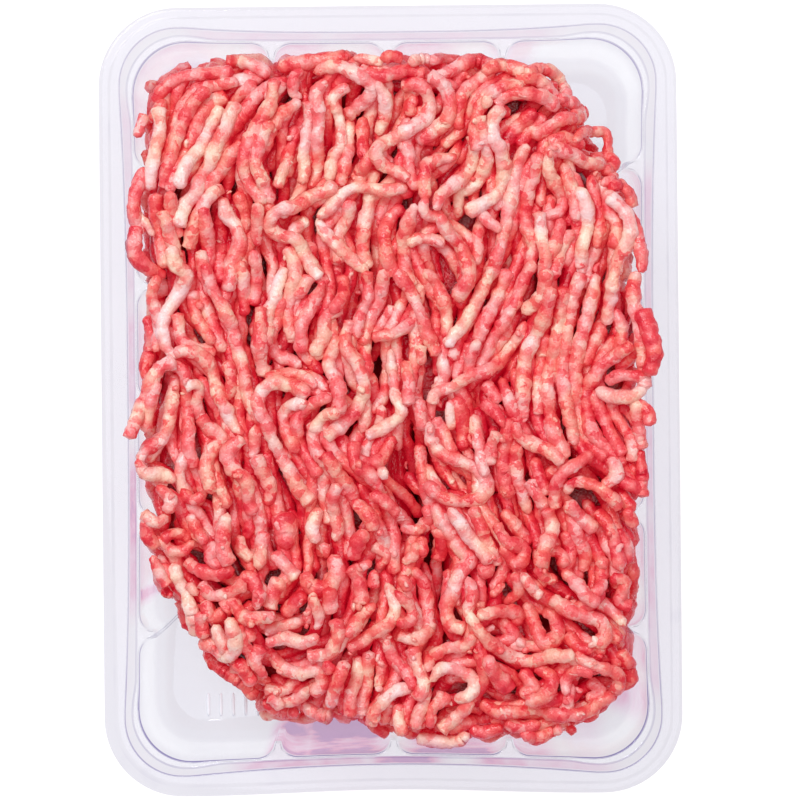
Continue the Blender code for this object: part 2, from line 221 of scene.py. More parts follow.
TOP_FAR_RIGHT = (
    (0.2, 1.7, (28.0, 61.0), (31.0, 65.0), (35.0, 69.0)),
    (0.2, 1.7, (31.0, 60.5), (34.0, 63.5), (37.5, 67.5)),
    (0.4, 1.6, (46.5, 71.0), (47.0, 68.0), (44.5, 66.3), (41.5, 66.0)),
    (0.3, 1.7, (32.5, 75.5), (36.0, 76.4), (38.7, 74.0), (40.5, 71.5)),
    (0.5, 1.5, (33.0, 77.3), (36.0, 79.0), (39.3, 78.8), (41.8, 76.3), (43.0, 72.8),
     (42.3, 70.0)),
    (0.5, 1.6, (40.5, 71.5), (43.5, 71.5), (46.0, 69.5), (44.0, 67.5)),
    (0.4, 1.7, (21.5, 59.0), (20.8, 64.0), (21.8, 69.0), (24.0, 72.5), (27.8, 74.3),
     (32.0, 73.8)),
    (0.8, 1.6, (24.3, 72.0), (22.4, 69.0)),
    (0.7, 1.6, (21.7, 67.5), (22.6, 63.5), (23.4, 59.0), (22.5, 54.0), (19.5, 50.5),
     (17.0, 48.5), (16.3, 43.5)),
    (0.5, 1.6, (34.0, 62.0), (37.5, 64.3), (41.0, 66.3), (44.5, 67.3)),
    (0.5, 1.7, (26.0, 69.5), (28.5, 72.2), (33.0, 72.7), (37.5, 71.3), (41.0, 69.5)),
    (0.3, 1.6, (47.0, 60.0), (44.5, 61.5), (41.5, 62.5), (38.0, 60.5)),
    (0.3, 1.5, (50.5, 51.5), (53.0, 52.4), (54.0, 54.5)),
    (0.3, 1.5, (52.5, 50.0), (55.5, 50.8), (57.8, 48.5), (58.3, 45.5)),
    (0.3, 1.6, (48.5, 53.5), (49.0, 48.0), (50.5, 42.0), (49.5, 36.0)),
    (0.4, 1.7, (53.0, 50.0), (52.0, 45.0), (54.5, 41.0), (53.5, 35.5)),
    (0.3, 1.7, (56.5, 45.5), (58.5, 40.0), (59.5, 35.0), (60.5, 29.5)),
    (0.7, 1.7, (52.5, 48.5), (54.8, 46.0), (57.0, 43.0), (57.0, 38.0), (54.8, 34.0),
     (53.5, 29.0)),
    (0.3, 1.6, (48.5, 57.3), (53.0, 58.3), (55.0, 56.3), (52.5, 54.5)),
    (0.4, 1.3, (44.3, 61.3), (46.3, 63.8), (50.0, 64.4), (52.8, 64.0), (53.2, 60.0),
     (52.6, 56.5)),
    (0.5, 1.7, (41.5, 56.5), (43.0, 52.0), (44.2, 47.0), (44.2, 42.0)),
    (0.5, 1.7, (37.0, 56.5), (39.5, 59.3), (44.0, 58.2), (47.5, 56.2), (52.5, 56.5)),
    (0.6, 1.7, (38.6, 58.5), (38.2, 54.5), (40.3, 50.5), (41.7, 47.5), (40.3, 44.2),
     (36.5, 43.3)),
    (0.4, 1.6, (35.8, 58.5), (35.0, 53.0), (33.2, 48.0), (32.5, 42.0), (34.2, 37.0),
     (33.5, 31.0)),
    (0.9, 1.7, (45.2, 50.5), (46.7, 46.0), (47.3, 41.0), (46.2, 36.0), (45.8, 29.5)),
    (0.5, 1.7, (44.3, 40.0), (41.7, 37.0), (40.3, 33.0), (38.5, 28.0)),
    (0.4, 1.7, (41.5, 43.0), (40.0, 38.0), (37.5, 33.0)),
    (0.7, 1.6, (35.8, 44.5), (36.2, 39.0), (37.2, 34.0), (36.6, 28.5)),
    (0.5, 1.7, (33.0, 60.5), (31.2, 56.0), (30.0, 51.0), (28.8, 46.0), (27.4, 40.0),
     (25.8, 34.0), (23.8, 28.0)),
    (0.5, 1.6, (22.0, 43.5), (21.2, 38.0), (20.7, 32.0)),
    (0.5, 1.6, (21.5, 44.5), (24.0, 42.5), (26.8, 40.3)),
    (0.8, 1.5, (25.0, 60.2), (29.3, 60.6)),
    (0.8, 1.7, (27.5, 69.5), (25.0, 66.0), (25.0, 62.0), (26.8, 58.0), (27.3, 53.0),
     (26.0, 49.0), (22.5, 46.7), (18.5, 44.3)),
)
TOP_LEFT = (
    (0.4, 1.6, (-58.5, 21.0), (-57.0, 16.0), (-58.0, 12.0)),
    (0.3, 1.6, (-57.0, 12.0), (-58.5, 8.0), (-57.0, 4.0)),
    (0.5, 1.6, (-55.0, 30.0), (-56.5, 24.0), (-55.0, 18.0), (-56.0, 12.0)),
    (0.5, 1.6, (-50.5, 21.0), (-49.5, 15.5), (-46.0, 12.5), (-41.5, 11.5)),
    (0.3, 1.7, (-35.5, 34.0), (-35.0, 27.0), (-34.5, 20.5)),
    (0.3, 1.7, (-32.5, 36.0), (-31.5, 29.5), (-32.5, 23.0)),
    (0.4, 1.7, (-38.5, 10.0), (-37.7, 4.0), (-39.0, 0.0)),
    (0.5, 1.6, (-24.5, 37.0), (-22.5, 31.0), (-23.7, 25.0), (-24.3, 19.0), (-23.0, 14.0)),
    (0.9, 1.7, (-52.0, 37.0), (-50.5, 33.0), (-48.5, 30.0), (-51.0, 25.0), (-53.5, 20.0),
     (-53.7, 14.5), (-51.0, 10.5)),
    (0.4, 1.7, (-46.5, 27.0), (-46.4, 22.0), (-44.2, 17.0), (-42.0, 13.7)),
    (0.5, 1.7, (-45.0, 36.0), (-44.0, 31.0), (-42.0, 25.5)),
    (0.6, 1.7, (-51.5, 12.0), (-47.5, 12.0), (-43.7, 10.0), (-41.8, 5.0), (-40.3, 0.0),
     (-37.8, -4.5), (-35.2, -8.0)),
    (0.7, 1.7, (-51.0, 9.8), (-54.5, 8.3), (-57.5, 3.0), (-60.0, -4.0), (-62.0, -8.8)),
    (0.5, 1.7, (-55.0, 5.0), (-57.0, -1.0), (-58.5, -7.0)),
    (0.6, 1.7, (-51.3, 6.5), (-52.0, 1.0), (-53.0, -4.0), (-54.8, -8.5), (-58.5, -11.0),
     (-60.0, -13.8)),
    (0.5, 1.8, (-60.0, -13.5), (-58.5, -17.0), (-55.0, -17.2), (-51.0, -18.5)),
    (0.6, 1.6, (-48.7, -1.0), (-48.0, -6.0), (-48.4, -11.0), (-47.0, -16.0)),
    (0.8, 1.6, (-49.0, 4.2), (-45.8, 3.8), (-46.3, -0.5), (-45.5, -4.0)),
    (0.5, 1.8, (-45.5, -3.5), (-43.5, -6.0), (-40.3, -8.7), (-42.8, -11.5), (-44.0, -16.0),
     (-43.0, -22.0)),
    (0.3, 1.7, (-29.5, 14.0), (-27.0, 19.0), (-25.0, 25.0)),
    (0.5, 1.7, (-44.0, 33.0), (-42.0, 27.0), (-39.5, 21.5), (-37.0, 15.5), (-35.2, 9.0),
     (-34.0, 2.5), (-31.7, -3.0), (-29.5, -8.0)),
    (0.9, 1.7, (-25.0, 32.0), (-27.0, 26.0), (-29.0, 20.0), (-29.3, 13.0)),
    (0.6, 1.8, (-30.5, 22.5), (-31.0, 17.0), (-30.9, 11.5), (-30.3, 6.0)),
    (0.4, 1.6, (-15.5, 28.5), (-18.0, 24.0), (-20.6, 18.5), (-21.3, 11.0)),
    (0.3, 1.6, (-19.0, 30.0), (-20.5, 27.0), (-22.5, 24.5)),
    (0.5, 1.7, (-14.0, 19.5), (-13.2, 14.0), (-14.6, 9.0), (-12.8, 3.5), (-12.3, -3.0)),
    (0.6, 1.7, (-11.5, 22.0), (-15.3, 19.7), (-16.0, 15.0), (-18.7, 10.8)),
    (0.4, 1.7, (-11.0, 30.0), (-11.5, 25.0), (-14.0, 20.5)),
    (0.4, 1.6, (-1.0, 31.0), (-2.5, 25.0), (-5.0, 19.0), (-6.8, 13.0)),
    (0.4, 1.6, (-5.5, 31.0), (-5.2, 25.0), (-7.5, 20.0), (-8.0, 14.5)),
    (0.6, 1.7, (-9.5, 19.5), (-10.5, 13.5), (-8.0, 8.5), (-6.0, 3.0), (-8.3, -2.0),
     (-12.0, -6.0), (-16.0, -8.3)),
    (0.5, 1.4, (1.2, 22.5), (-1.5, 19.0), (-3.8, 15.5)),
    (0.7, 1.5, (-19.6, 7.0), (-17.0, 4.5), (-14.8, 2.2)),
    (0.3, 1.6, (-14.0, 1.0), (-18.0, -0.5), (-22.0, -3.5), (-22.5, -8.5), (-20.0, -13.0),
     (-17.5, -18.0)),
    (0.5, 1.6, (-19.5, -0.5), (-24.0, -1.0), (-26.0, -4.0), (-24.7, -8.0), (-22.5, -12.5)),
    (0.5, 1.6, (-12.0, -2.8), (-16.0, -3.7), (-18.4, -7.3), (-18.0, -11.5), (-15.0, -15.5)),
    (0.4, 1.6, (-17.5, 3.0), (-21.0, 6.0), (-26.0, 6.2), (-29.5, 5.2)),
    (0.6, 1.7, (-19.0, 1.6), (-23.0, 3.6), (-28.0, 3.9), (-31.0, 2.0), (-31.3, -2.0),
     (-29.0, -6.5), (-27.3, -11.0), (-24.3, -15.0)),
    (0.5, 1.6, (3.5, 9.5), (4.5, 4.0), (4.0, -1.5)),
    (0.3, 1.6, (6.0, 19.0), (2.0, 16.6), (-0.5, 15.3), (-4.3, 14.8)),
    (0.8, 1.5, (-0.2, 12.5), (0.5, 7.0), (1.2, 1.0), (2.5, -3.0), (-0.5, -6.0),
     (-6.0, -8.5)),
)
TOP_RIGHT = (
    (0.3, 1.6, (58.5, -1.0), (60.8, -3.0), (61.5, -6.5)),
    (0.3, 1.6, (59.0, -12.0), (59.8, -18.0), (59.0, -24.0)),
    (0.2, 2.1, (59.6, 21.0), (61.2, 15.5), (62.5, 10.0), (61.2, 5.0)),
    (0.5, 1.6, (54.0, 21.5), (55.5, 15.0), (54.0, 9.0)),
    (0.4, 1.7, (1.0, 31.0), (4.5, 27.0), (7.0, 21.0), (9.0, 15.5), (11.2, 10.5)),
    (0.4, 1.7, (8.5, 31.0), (12.0, 25.5), (13.6, 20.0), (12.8, 14.5)),
    (0.5, 1.7, (17.0, 37.0), (18.8, 31.0), (17.8, 26.5), (15.0, 24.5)),
    (0.5, 1.8, (7.5, 13.0), (7.0, 8.0)),
    (0.5, 1.6, (6.5, 0.5), (7.3, -6.5)),
    (0.2, 1.6, (7.0, -10.5), (7.3, -16.0), (8.0, -21.0)),
    (0.5, 1.7, (28.5, 31.0), (25.5, 24.0), (22.5, 18.0), (20.5, 13.5)),
    (0.4, 1.7, (34.5, 33.0), (32.0, 28.0), (29.3, 22.0), (26.0, 16.5), (23.2, 11.5),
     (21.0, 6.5)),
    (0.8, 1.8, (24.8, 31.0), (21.3, 24.0), (18.0, 18.5), (13.5, 12.5)),
    (0.5, 1.6, (20.8, 14.5), (19.2, 10.5), (18.5, 6.0)),
    (0.6, 1.8, (37.0, 31.0), (36.5, 25.5), (33.5, 22.0), (31.3, 20.3)),
    (0.5, 1.7, (37.5, 15.5), (36.0, 9.0), (35.2, 3.0), (35.0, -4.0)),
    (0.4, 1.7, (52.0, 20.5), (49.3, 14.0), (46.0, 8.0)),
    (0.5, 1.7, (58.5, 30.0), (58.0, 22.0), (59.3, 15.0), (60.0, 8.5), (60.3, 2.5)),
    (0.6, 1.7, (49.0, 30.0), (47.8, 22.0), (45.5, 15.0), (44.3, 8.0), (44.3, 1.0),
     (45.5, -6.0), (48.0, -11.0), (51.5, -15.0)),
    (0.6, 1.7, (45.8, 30.0), (43.6, 24.0), (42.4, 17.0), (41.4, 10.0), (41.2, 3.0),
     (42.5, -5.0), (44.0, -11.0)),
    (0.8, 1.7, (53.5, 31.0), (53.0, 24.0), (51.5, 17.5)),
    (0.5, 1.8, (41.5, 27.0), (40.2, 18.0), (39.5, 11.0), (37.6, 4.5), (37.3, -2.0),
     (39.0, -8.5), (41.2, -14.5)),
    (0.6, 1.8, (38.5, 26.5), (37.0, 20.0), (34.0, 13.5), (32.0, 9.0), (31.5, 3.0),
     (31.7, -5.0)),
    (0.4, 1.7, (57.5, 12.8), (53.0, 9.5), (49.5, 6.5), (47.0, 2.0), (46.8, -4.0),
     (49.0, -9.5), (52.5, -12.5), (54.8, -16.5)),
    (0.5, 1.6, (48.5, 1.5), (50.3, -4.0), (52.7, -9.0), (55.3, -13.5)),
    (0.5, 1.6, (52.0, -0.5), (54.7, -6.0), (57.3, -10.0), (57.3, -15.0)),
    (0.6, 1.6, (58.0, -0.5), (58.7, -6.0), (59.7, -12.0)),
    (0.4, 1.5, (51.0, 4.0), (55.0, 5.3), (59.8, 4.6)),
    (0.8, 1.6, (48.7, 1.8), (53.0, 0.3), (58.0, 0.6), (61.0, 3.5)),
    (0.3, 1.7, (28.0, -4.5), (27.0, -11.0), (26.7, -17.0), (28.0, -23.5)),
    (0.3, 1.6, (22.0, -0.5), (25.0, -3.5), (26.8, -7.0)),
    (0.8, 1.7, (25.2, -7.3), (24.0, -11.0), (23.2, -15.5)),
    (0.6, 1.7, (29.7, -10.5), (30.0, -16.0), (30.8, -21.5), (32.8, -27.5)),
    (0.6, 1.7, (29.5, -5.5), (31.0, -9.0), (34.5, -11.0), (37.7, -12.8), (40.7, -15.7)),
    (0.7, 1.7, (33.0, -19.5), (34.6, -23.0), (37.2, -27.0)),
    (0.3, 1.7, (34.0, -14.0), (35.5, -19.0), (37.5, -23.0)),
    (0.4, 1.6, (48.3, -13.3), (44.0, -15.5), (40.5, -18.0), (38.6, -21.5), (39.0, -26.5)),
    (0.4, 1.7, (54.0, -19.5), (57.0, -21.0), (59.5, -22.5)),
    (0.6, 1.7, (52.0, -14.0), (53.2, -18.0), (50.3, -20.8)),
    (0.6, 1.6, (41.3, -23.0), (43.0, -20.2), (47.0, -20.3), (51.0, -22.3), (54.2, -26.5)),
    (0.6, 1.6, (32.7, 18.7), (29.7, 13.5), (26.3, 9.3), (23.3, 7.0), (19.0, 5.5),
     (14.5, 3.0), (11.0, 1.3), (10.2, -1.5)),
    (0.4, 1.7, (22.5, 4.0), (24.5, 1.5), (25.5, -1.0)),
    (0.3, 1.7, (15.5, 0.5), (17.2, -5.0), (17.4, -12.0)),
    (0.8, 1.5, (14.0, -0.5), (14.2, -4.0), (14.6, -7.5)),
    (0.5, 1.6, (10.7, -4.3), (12.6, -8.0), (14.7, -12.8)),
    (0.6, 1.6, (9.4, -5.0), (9.9, -9.5), (13.0, -13.5), (17.5, -15.5), (21.5, -18.0),
     (22.9, -21.0), (20.5, -23.8), (16.0, -24.4), (11.5, -22.7), (8.2, -20.0)),
    (0.8, 1.6, (19.6, -3.5), (20.6, -9.0), (21.6, -14.5), (22.4, -18.5)),
)
TOP_NEAR_LEFT = (
    (0.3, 1.6, (-57.5, -27.0), (-58.3, -31.0), (-56.5, -35.0)),
    (0.2, 1.6, (-57.0, -36.5), (-55.5, -40.5), (-53.5, -44.0)),
    (0.1, 1.5, (-55.5, -45.2), (-52.5, -46.2)),
    (0.2, 1.7, (-51.3, -48.0), (-50.3, -53.0), (-47.5, -56.5)),
    (0.2, 1.7, (-45.5, -61.0), (-41.0, -64.5), (-36.5, -67.5), (-33.0, -71.0)),
    (0.3, 1.7, (-31.5, -72.0), (-27.5, -75.0), (-23.0, -75.5)),
    (0.4, 1.8, (-22.0, -73.0), (-18.5, -75.5), (-15.0, -76.5)),
    (0.6, 1.6, (-59.5, -26.0), (-56.0, -28.3), (-53.0, -27.0)),
    (0.5, 1.6, (-55.5, -20.0), (-52.5, -23.0), (-53.5, -26.0)),
    (0.5, 1.6, (-50.0, -20.5), (-47.5, -23.5), (-44.5, -22.0)),
    (0.5, 1.6, (-55.0, -32.5), (-52.0, -31.0), (-48.0, -32.5)),
    (0.6, 1.6, (-53.5, -35.3), (-50.0, -35.7), (-47.0, -33.5)),
    (0.5, 1.7, (-48.5, -26.5), (-46.3, -30.5), (-44.0, -34.0)),
    (0.4, 1.7, (-49.5, -37.5), (-46.5, -40.0), (-41.5, -41.0), (-37.5, -40.0)),
    (0.4, 1.8, (-41.0, -33.5), (-43.5, -37.0), (-40.5, -39.5)),
    (0.3, 1.7, (-45.0, -47.5), (-43.0, -51.0), (-40.0, -50.0)),
    (0.3, 1.7, (-46.0, -50.0), (-45.0, -56.5)),
    (0.9, 1.6, (-52.5, -38.5), (-50.5, -43.0), (-48.8, -48.5), (-47.0, -55.5)),
    (0.6, 1.6, (-48.5, -43.0), (-46.5, -46.5)),
    (0.6, 1.9, (-39.0, -26.5), (-39.8, -31.0), (-40.2, -35.0), (-38.6, -38.5)),
    (0.4, 1.8, (-34.8, -25.5), (-34.0, -29.5), (-35.3, -33.0)),
    (0.7, 1.7, (-36.5, -31.8), (-35.8, -35.5), (-33.3, -37.5)),
    (0.5, 1.8, (-35.0, -8.5), (-38.5, -11.8), (-38.0, -15.5), (-34.7, -18.5), (-34.0, -23.0),
     (-32.5, -27.0)),
    (0.5, 1.7, (-32.5, -5.5), (-32.2, -10.0), (-33.5, -13.5)),
    (0.5, 1.9, (-32.3, -13.0), (-30.3, -17.0), (-28.4, -21.0), (-29.5, -24.7)),
    (0.5, 1.8, (-26.0, -13.0), (-23.7, -17.5), (-21.8, -21.0), (-19.2, -25.0)),
    (0.2, 1.7, (-33.0, -48.0), (-35.5, -52.5), (-33.0, -57.0)),
    (0.3, 1.8, (-36.5, -41.5), (-33.0, -42.5), (-31.5, -46.5)),
    (0.5, 1.7, (-46.0, -42.8), (-43.0, -46.0), (-39.5, -45.5), (-34.8, -43.3)),
    (0.3, 2.7, (-26.2, -26.5), (-25.3, -31.0), (-25.0, -35.5)),
    (0.7, 1.8, (-30.5, -30.8), (-31.0, -35.5), (-31.8, -40.3)),
    (0.6, 1.7, (-28.5, -36.3), (-26.0, -38.7), (-22.5, -42.0)),
    (0.6, 1.7, (-31.3, -44.5), (-32.3, -49.3)),
    (0.3, 1.7, (-26.0, -51.0), (-23.0, -47.5), (-20.5, -45.5)),
    (0.5, 1.9, (-26.3, -42.0), (-28.0, -45.5), (-29.4, -49.5)),
    (0.5, 1.6, (-37.0, -53.0), (-35.0, -58.0), (-33.3, -63.0)),
    (0.4, 1.9, (-40.3, -49.7), (-38.0, -47.9), (-35.3, -50.8), (-31.5, -51.5), (-27.5, -51.0)),
    (0.7, 1.7, (-46.3, -57.5), (-43.0, -58.6), (-40.0, -60.9), (-37.7, -59.4), (-37.5, -55.5),
     (-39.0, -51.3)),
    (0.7, 1.6, (-42.7, -53.3), (-40.7, -57.0), (-40.0, -60.3)),
    (0.2, 1.9, (-37.5, -61.5), (-35.0, -65.5), (-33.5, -67.5)),
    (0.4, 1.7, (-31.0, -58.0), (-32.5, -62.0), (-30.0, -66.0)),
    (0.6, 1.7, (-31.0, -69.0), (-26.5, -69.3), (-22.5, -66.7)),
    (0.5, 1.8, (-29.8, -71.0), (-26.7, -73.5)),
    (0.5, 1.7, (-29.3, -60.0), (-26.7, -63.3), (-22.5, -65.0), (-18.2, -64.5), (-16.8, -67.5),
     (-19.7, -70.3)),
)
TOP_NEAR = (
    (0.2, 1.7, (-9.0, -10.0), (-8.5, -14.5), (-5.5, -18.5)),
    (0.3, 1.7, (-15.5, -12.5), (-13.5, -16.5), (-10.5, -20.5), (-8.5, -25.0)),
    (0.3, 1.7, (-8.5, -15.5), (-5.0, -17.5), (-2.5, -21.5)),
    (0.7, 1.5, (-3.4, -17.6), (-0.8, -17.0)),
    (0.4, 1.7, (-5.0, -22.0), (-1.5, -24.5), (1.5, -27.5)),
    (0.3, 1.8, (-9.0, -24.0), (-5.5, -27.0), (-4.5, -31.0)),
    (0.6, 1.7, (-12.5, -19.5), (-14.0, -24.0), (-13.0, -29.0), (-13.6, -33.7)),
    (0.8, 1.8, (-17.0, -25.5), (-19.0, -30.0), (-17.8, -34.2)),
    (0.3, 1.8, (-9.7, -38.2), (-8.3, -34.0), (-6.0, -30.8)),
    (0.4, 1.6, (-4.5, -34.5), (-1.5, -37.0), (-3.5, -40.5)),
    (0.8, 1.5, (-8.0, -40.0), (-5.0, -38.6)),
    (0.3, 1.7, (-4.0, -40.0), (-4.5, -45.0)),
    (0.5, 1.8, (-10.3, -39.5), (-7.9, -43.0), (-7.6, -49.0)),
    (0.6, 1.6, (-15.8, -34.0), (-16.0, -38.0)),
    (0.3, 2.2, (-21.0, -40.5), (-19.5, -43.7), (-15.7, -44.5), (-13.0, -41.3), (-14.3, -36.8)),
    (0.6, 1.6, (-18.5, -45.5), (-19.0, -50.0)),
    (0.3, 1.8, (-15.2, -44.5), (-14.5, -50.5)),
    (0.7, 1.6, (-19.0, -46.5), (-17.5, -51.0), (-18.5, -54.0)),
    (0.5, 1.7, (-4.0, -48.5), (-7.5, -51.3), (-11.2, -55.8)),
    (0.8, 1.7, (-30.7, -55.0), (-26.0, -53.4), (-21.3, -52.3)),
    (0.6, 1.7, (-30.2, -58.0), (-26.0, -56.5), (-21.0, -57.5), (-17.5, -56.0)),
    (0.4, 1.8, (-13.3, -51.7), (-13.2, -56.0), (-15.5, -60.0), (-20.3, -61.3)),
    (0.2, 1.7, (-16.5, -62.0), (-14.0, -64.5)),
    (0.4, 1.7, (-11.5, -61.5), (-13.0, -66.8), (-15.3, -72.7)),
    (0.4, 1.6, (-2.5, -62.5), (-3.5, -69.0)),
    (0.5, 1.6, (-5.8, -60.0), (-6.0, -65.5), (-7.0, -70.5), (-8.2, -75.5)),
    (0.6, 1.6, (-8.5, -60.8), (-8.8, -66.0), (-10.5, -71.0), (-10.6, -75.8)),
    (0.6, 1.8, (-1.7, -43.5), (0.6, -48.7), (-0.8, -53.0), (-5.5, -56.2), (-10.7, -59.3)),
    (0.5, 1.8, (1.2, -72.5), (1.3, -76.0), (2.3, -80.0)),
    (0.7, 1.7, (4.3, -68.3), (0.0, -69.5), (-3.5, -73.2), (-5.6, -78.0)),
    (0.3, 1.6, (2.0, -30.0), (6.0, -30.8), (8.7, -28.7), (8.3, -25.7)),
    (0.6, 1.6, (2.0, -38.6), (5.2, -37.3), (5.8, -34.0)),
    (0.3, 1.6, (7.3, -32.8), (7.8, -37.8)),
    (0.2, 1.8, (2.0, -41.5), (3.8, -45.5)),
    (0.3, 1.6, (0.3, -45.3), (4.0, -48.5), (4.6, -52.0), (1.3, -53.6)),
    (0.5, 1.7, (5.3, -40.0), (7.7, -44.8), (8.6, -50.0), (8.4, -55.0), (5.0, -57.4),
     (1.3, -56.0)),
    (0.5, 1.6, (-1.7, -56.8), (0.4, -62.0), (3.3, -65.5), (4.8, -69.0)),
    (0.5, 1.6, (4.5, -59.0), (5.6, -63.0), (7.5, -67.5), (5.3, -71.3)),
    (0.3, 1.9, (11.2, -30.8), (11.9, -34.8), (10.8, -38.8)),
)
TOP_NEAR_RIGHT = (
    (0.2, 1.7, (54.3, -60.5), (56.2, -64.0), (56.5, -68.0), (54.0, -69.5)),
    (0.2, 1.7, (52.0, -42.5), (55.5, -44.5), (54.0, -48.5), (57.0, -49.8)),
    (0.3, 1.7, (43.0, -78.5), (42.5, -81.0)),
    (0.2, 1.8, (18.0, -79.5), (22.0, -79.6), (26.0, -78.5)),
    (0.3, 1.7, (26.5, -77.3), (30.5, -78.4), (35.0, -77.5)),
    (0.3, 1.7, (30.0, -80.3), (34.5, -80.8), (38.5, -79.0)),
    (0.6, 1.5, (38.3, -79.3), (40.5, -79.8)),
    (0.3, 1.7, (45.0, -77.0), (47.5, -76.0), (47.0, -73.5)),
    (0.4, 1.7, (54.0, -31.5), (56.0, -36.0), (56.5, -39.5)),
    (0.5, 1.7, (55.5, -26.0), (58.0, -31.0)),
    (0.4, 1.7, (49.0, -26.5), (52.0, -31.5), (53.7, -37.0), (54.5, -41.0)),
    (0.3, 1.7, (41.5, -31.5), (42.5, -37.5), (40.5, -41.5)),
    (0.5, 1.8, (42.3, -26.5), (44.0, -32.0), (45.8, -37.0), (45.8, -41.7)),
    (0.7, 1.8, (41.5, -24.5), (45.0, -28.3), (48.7, -31.7)),
    (0.4, 1.7, (26.7, -26.5), (29.5, -30.5), (33.0, -35.0)),
    (0.3, 1.8, (34.3, -39.8), (36.5, -42.5), (39.5, -43.5)),
    (0.3, 1.7, (36.5, -36.0), (40.0, -37.0), (41.0, -40.5)),
    (0.6, 1.8, (37.0, -26.0), (38.3, -31.0), (36.0, -35.5), (34.8, -40.0)),
    (0.5, 1.7, (19.5, -25.5), (21.5, -31.0), (24.0, -36.0), (25.8, -39.5)),
    (0.4, 1.6, (29.0, -41.0), (30.3, -46.0), (26.5, -49.5)),
    (0.3, 1.7, (25.5, -52.5), (28.5, -56.5), (24.0, -58.5)),
    (0.4, 1.7, (24.5, -29.5), (27.5, -34.0), (31.0, -35.5), (31.0, -38.5), (27.8, -39.2)),
    (0.3, 2.2, (22.3, -39.0), (22.3, -42.7)),
    (0.8, 1.7, (13.8, -25.5), (17.0, -30.5), (20.0, -34.5), (23.7, -38.7)),
    (0.5, 1.9, (10.3, -25.0), (13.0, -30.5), (16.0, -36.0), (18.4, -38.5), (15.8, -41.5),
     (14.8, -45.5), (13.0, -49.5), (14.2, -53.5), (17.5, -54.7)),
    (0.7, 1.5, (23.5, -47.0), (27.0, -44.0)),
    (0.7, 1.6, (50.5, -38.0), (49.7, -40.8)),
    (0.5, 1.6, (51.0, -43.0), (48.5, -46.0), (46.5, -47.0)),
    (0.4, 1.7, (40.5, -41.0), (44.5, -45.0), (48.7, -49.2)),
    (0.3, 1.8, (42.0, -55.5), (44.0, -59.0), (48.0, -60.5)),
    (0.4, 1.7, (50.3, -53.5), (54.2, -58.8)),
    (0.2, 1.8, (30.5, -65.0), (33.5, -68.5), (30.0, -71.0)),
    (0.6, 1.6, (20.0, -51.5), (25.0, -50.5), (29.7, -51.2), (29.7, -54.5)),
    (0.4, 1.8, (32.3, -48.5), (34.0, -54.0), (36.0, -58.3), (39.4, -56.5), (38.8, -52.5),
     (36.0, -50.3)),
    (0.8, 1.5, (30.8, -41.3), (33.0, -45.0), (35.7, -47.2)),
    (0.7, 1.7, (37.5, -47.3), (41.0, -50.0), (46.0, -52.0), (49.5, -53.2), (50.4, -56.5),
     (48.5, -59.7)),
    (0.9, 0.6, (47.6, -56.5), (48.5, -58.0), (46.3, -59.3)),
    (0.5, 1.6, (41.3, -71.0), (41.0, -67.0), (44.0, -64.7), (48.0, -65.5)),
    (0.4, 1.7, (34.0, -64.0), (37.5, -66.5), (36.3, -70.3), (31.5, -72.5)),
    (0.3, 1.7, (46.5, -67.5), (49.5, -70.0), (46.0, -72.5)),
    (0.4, 1.6, (53.0, -70.8), (49.0, -73.5), (44.0, -75.5), (37.0, -75.0), (30.0, -74.5),
     (25.0, -74.8), (20.5, -72.3)),
    (0.6, 1.6, (43.0, -60.8), (47.0, -63.3), (51.5, -64.6), (53.7, -66.8), (53.0, -70.8)),
    (0.3, 2.1, (21.7, -61.0), (25.0, -66.0), (27.7, -69.7)),
    (0.4, 1.7, (13.5, -70.5), (9.3, -74.0), (8.4, -78.5)),
    (0.5, 1.9, (19.0, -71.7), (15.0, -76.0), (11.0, -79.3)),
    (0.9, 1.7, (5.5, -81.0), (10.0, -82.2), (15.0, -82.2), (17.7, -80.3)),
    (0.8, 1.3, (29.0, -58.0), (31.8, -58.4)),
    (0.5, 1.7, (19.0, -56.0), (17.5, -58.4), (13.0, -59.5), (9.5, -61.5), (8.0, -64.7)),
    (0.8, 1.6, (9.0, -67.0), (11.5, -64.3), (15.5, -64.5), (18.8, -67.0), (18.5, -70.0),
     (14.7, -71.7)),
    (0.6, 1.7, (18.0, -42.3), (18.8, -46.0), (18.2, -50.5), (20.0, -54.0), (23.5, -58.0),
     (28.0, -61.5), (33.0, -62.6), (38.0, -61.3), (43.0, -60.8)),
)
TOP_LAYER = (
    TOP_FAR_LEFT,
    TOP_FAR,
    TOP_FAR_RIGHT,
    TOP_LEFT,
    TOP_RIGHT,
    TOP_NEAR_LEFT,
    TOP_NEAR,
    TOP_NEAR_RIGHT,
)
# ------------------------------------------------------------------ laying the strands
LATTICE = 48
lattice = rng.uniform(-1.0, 1.0, (LATTICE, LATTICE, LATTICE))
SQUEEZE = 0.76  # share of its radius at which a strand rests on another
STEEPEST = 0.55  # how fast a strand comes down from what holds it up
SOFTEN = 1.6  # smoothing of a strand's height, mm
ROUNDING = 1.1  # and of the kinks that are left in it


def smoothstep(value):
    """0 up to 0, 1 from 1 on, and a smooth rise between."""
    value = np.clip(value, 0.0, 1.0)
    return value * value * (3.0 - 2.0 * value)


def noise3(points, size, seed=0.0):
    """Smooth noise from -1 to 1, with lumps of about the given size."""
    place = np.asarray(points, float) / size + 7.31 * seed
    cell = np.floor(place).astype(int)
    part = smoothstep(place - cell)
    total = np.zeros(place.shape[:-1])
    for corner in np.ndindex(2, 2, 2):
        share = np.prod(np.where(np.array(corner) == 1, part, 1.0 - part), axis=-1)
        x, y, z = np.moveaxis((cell + corner) % LATTICE, -1, 0)
        total += share * lattice[x, y, z]
    return total


def noise1(along, size, seed):
    """The same along a line."""
    points = np.zeros((len(along), 3))
    points[:, 0] = along
    points[:, 1] = seed * size
    return noise3(points, size)


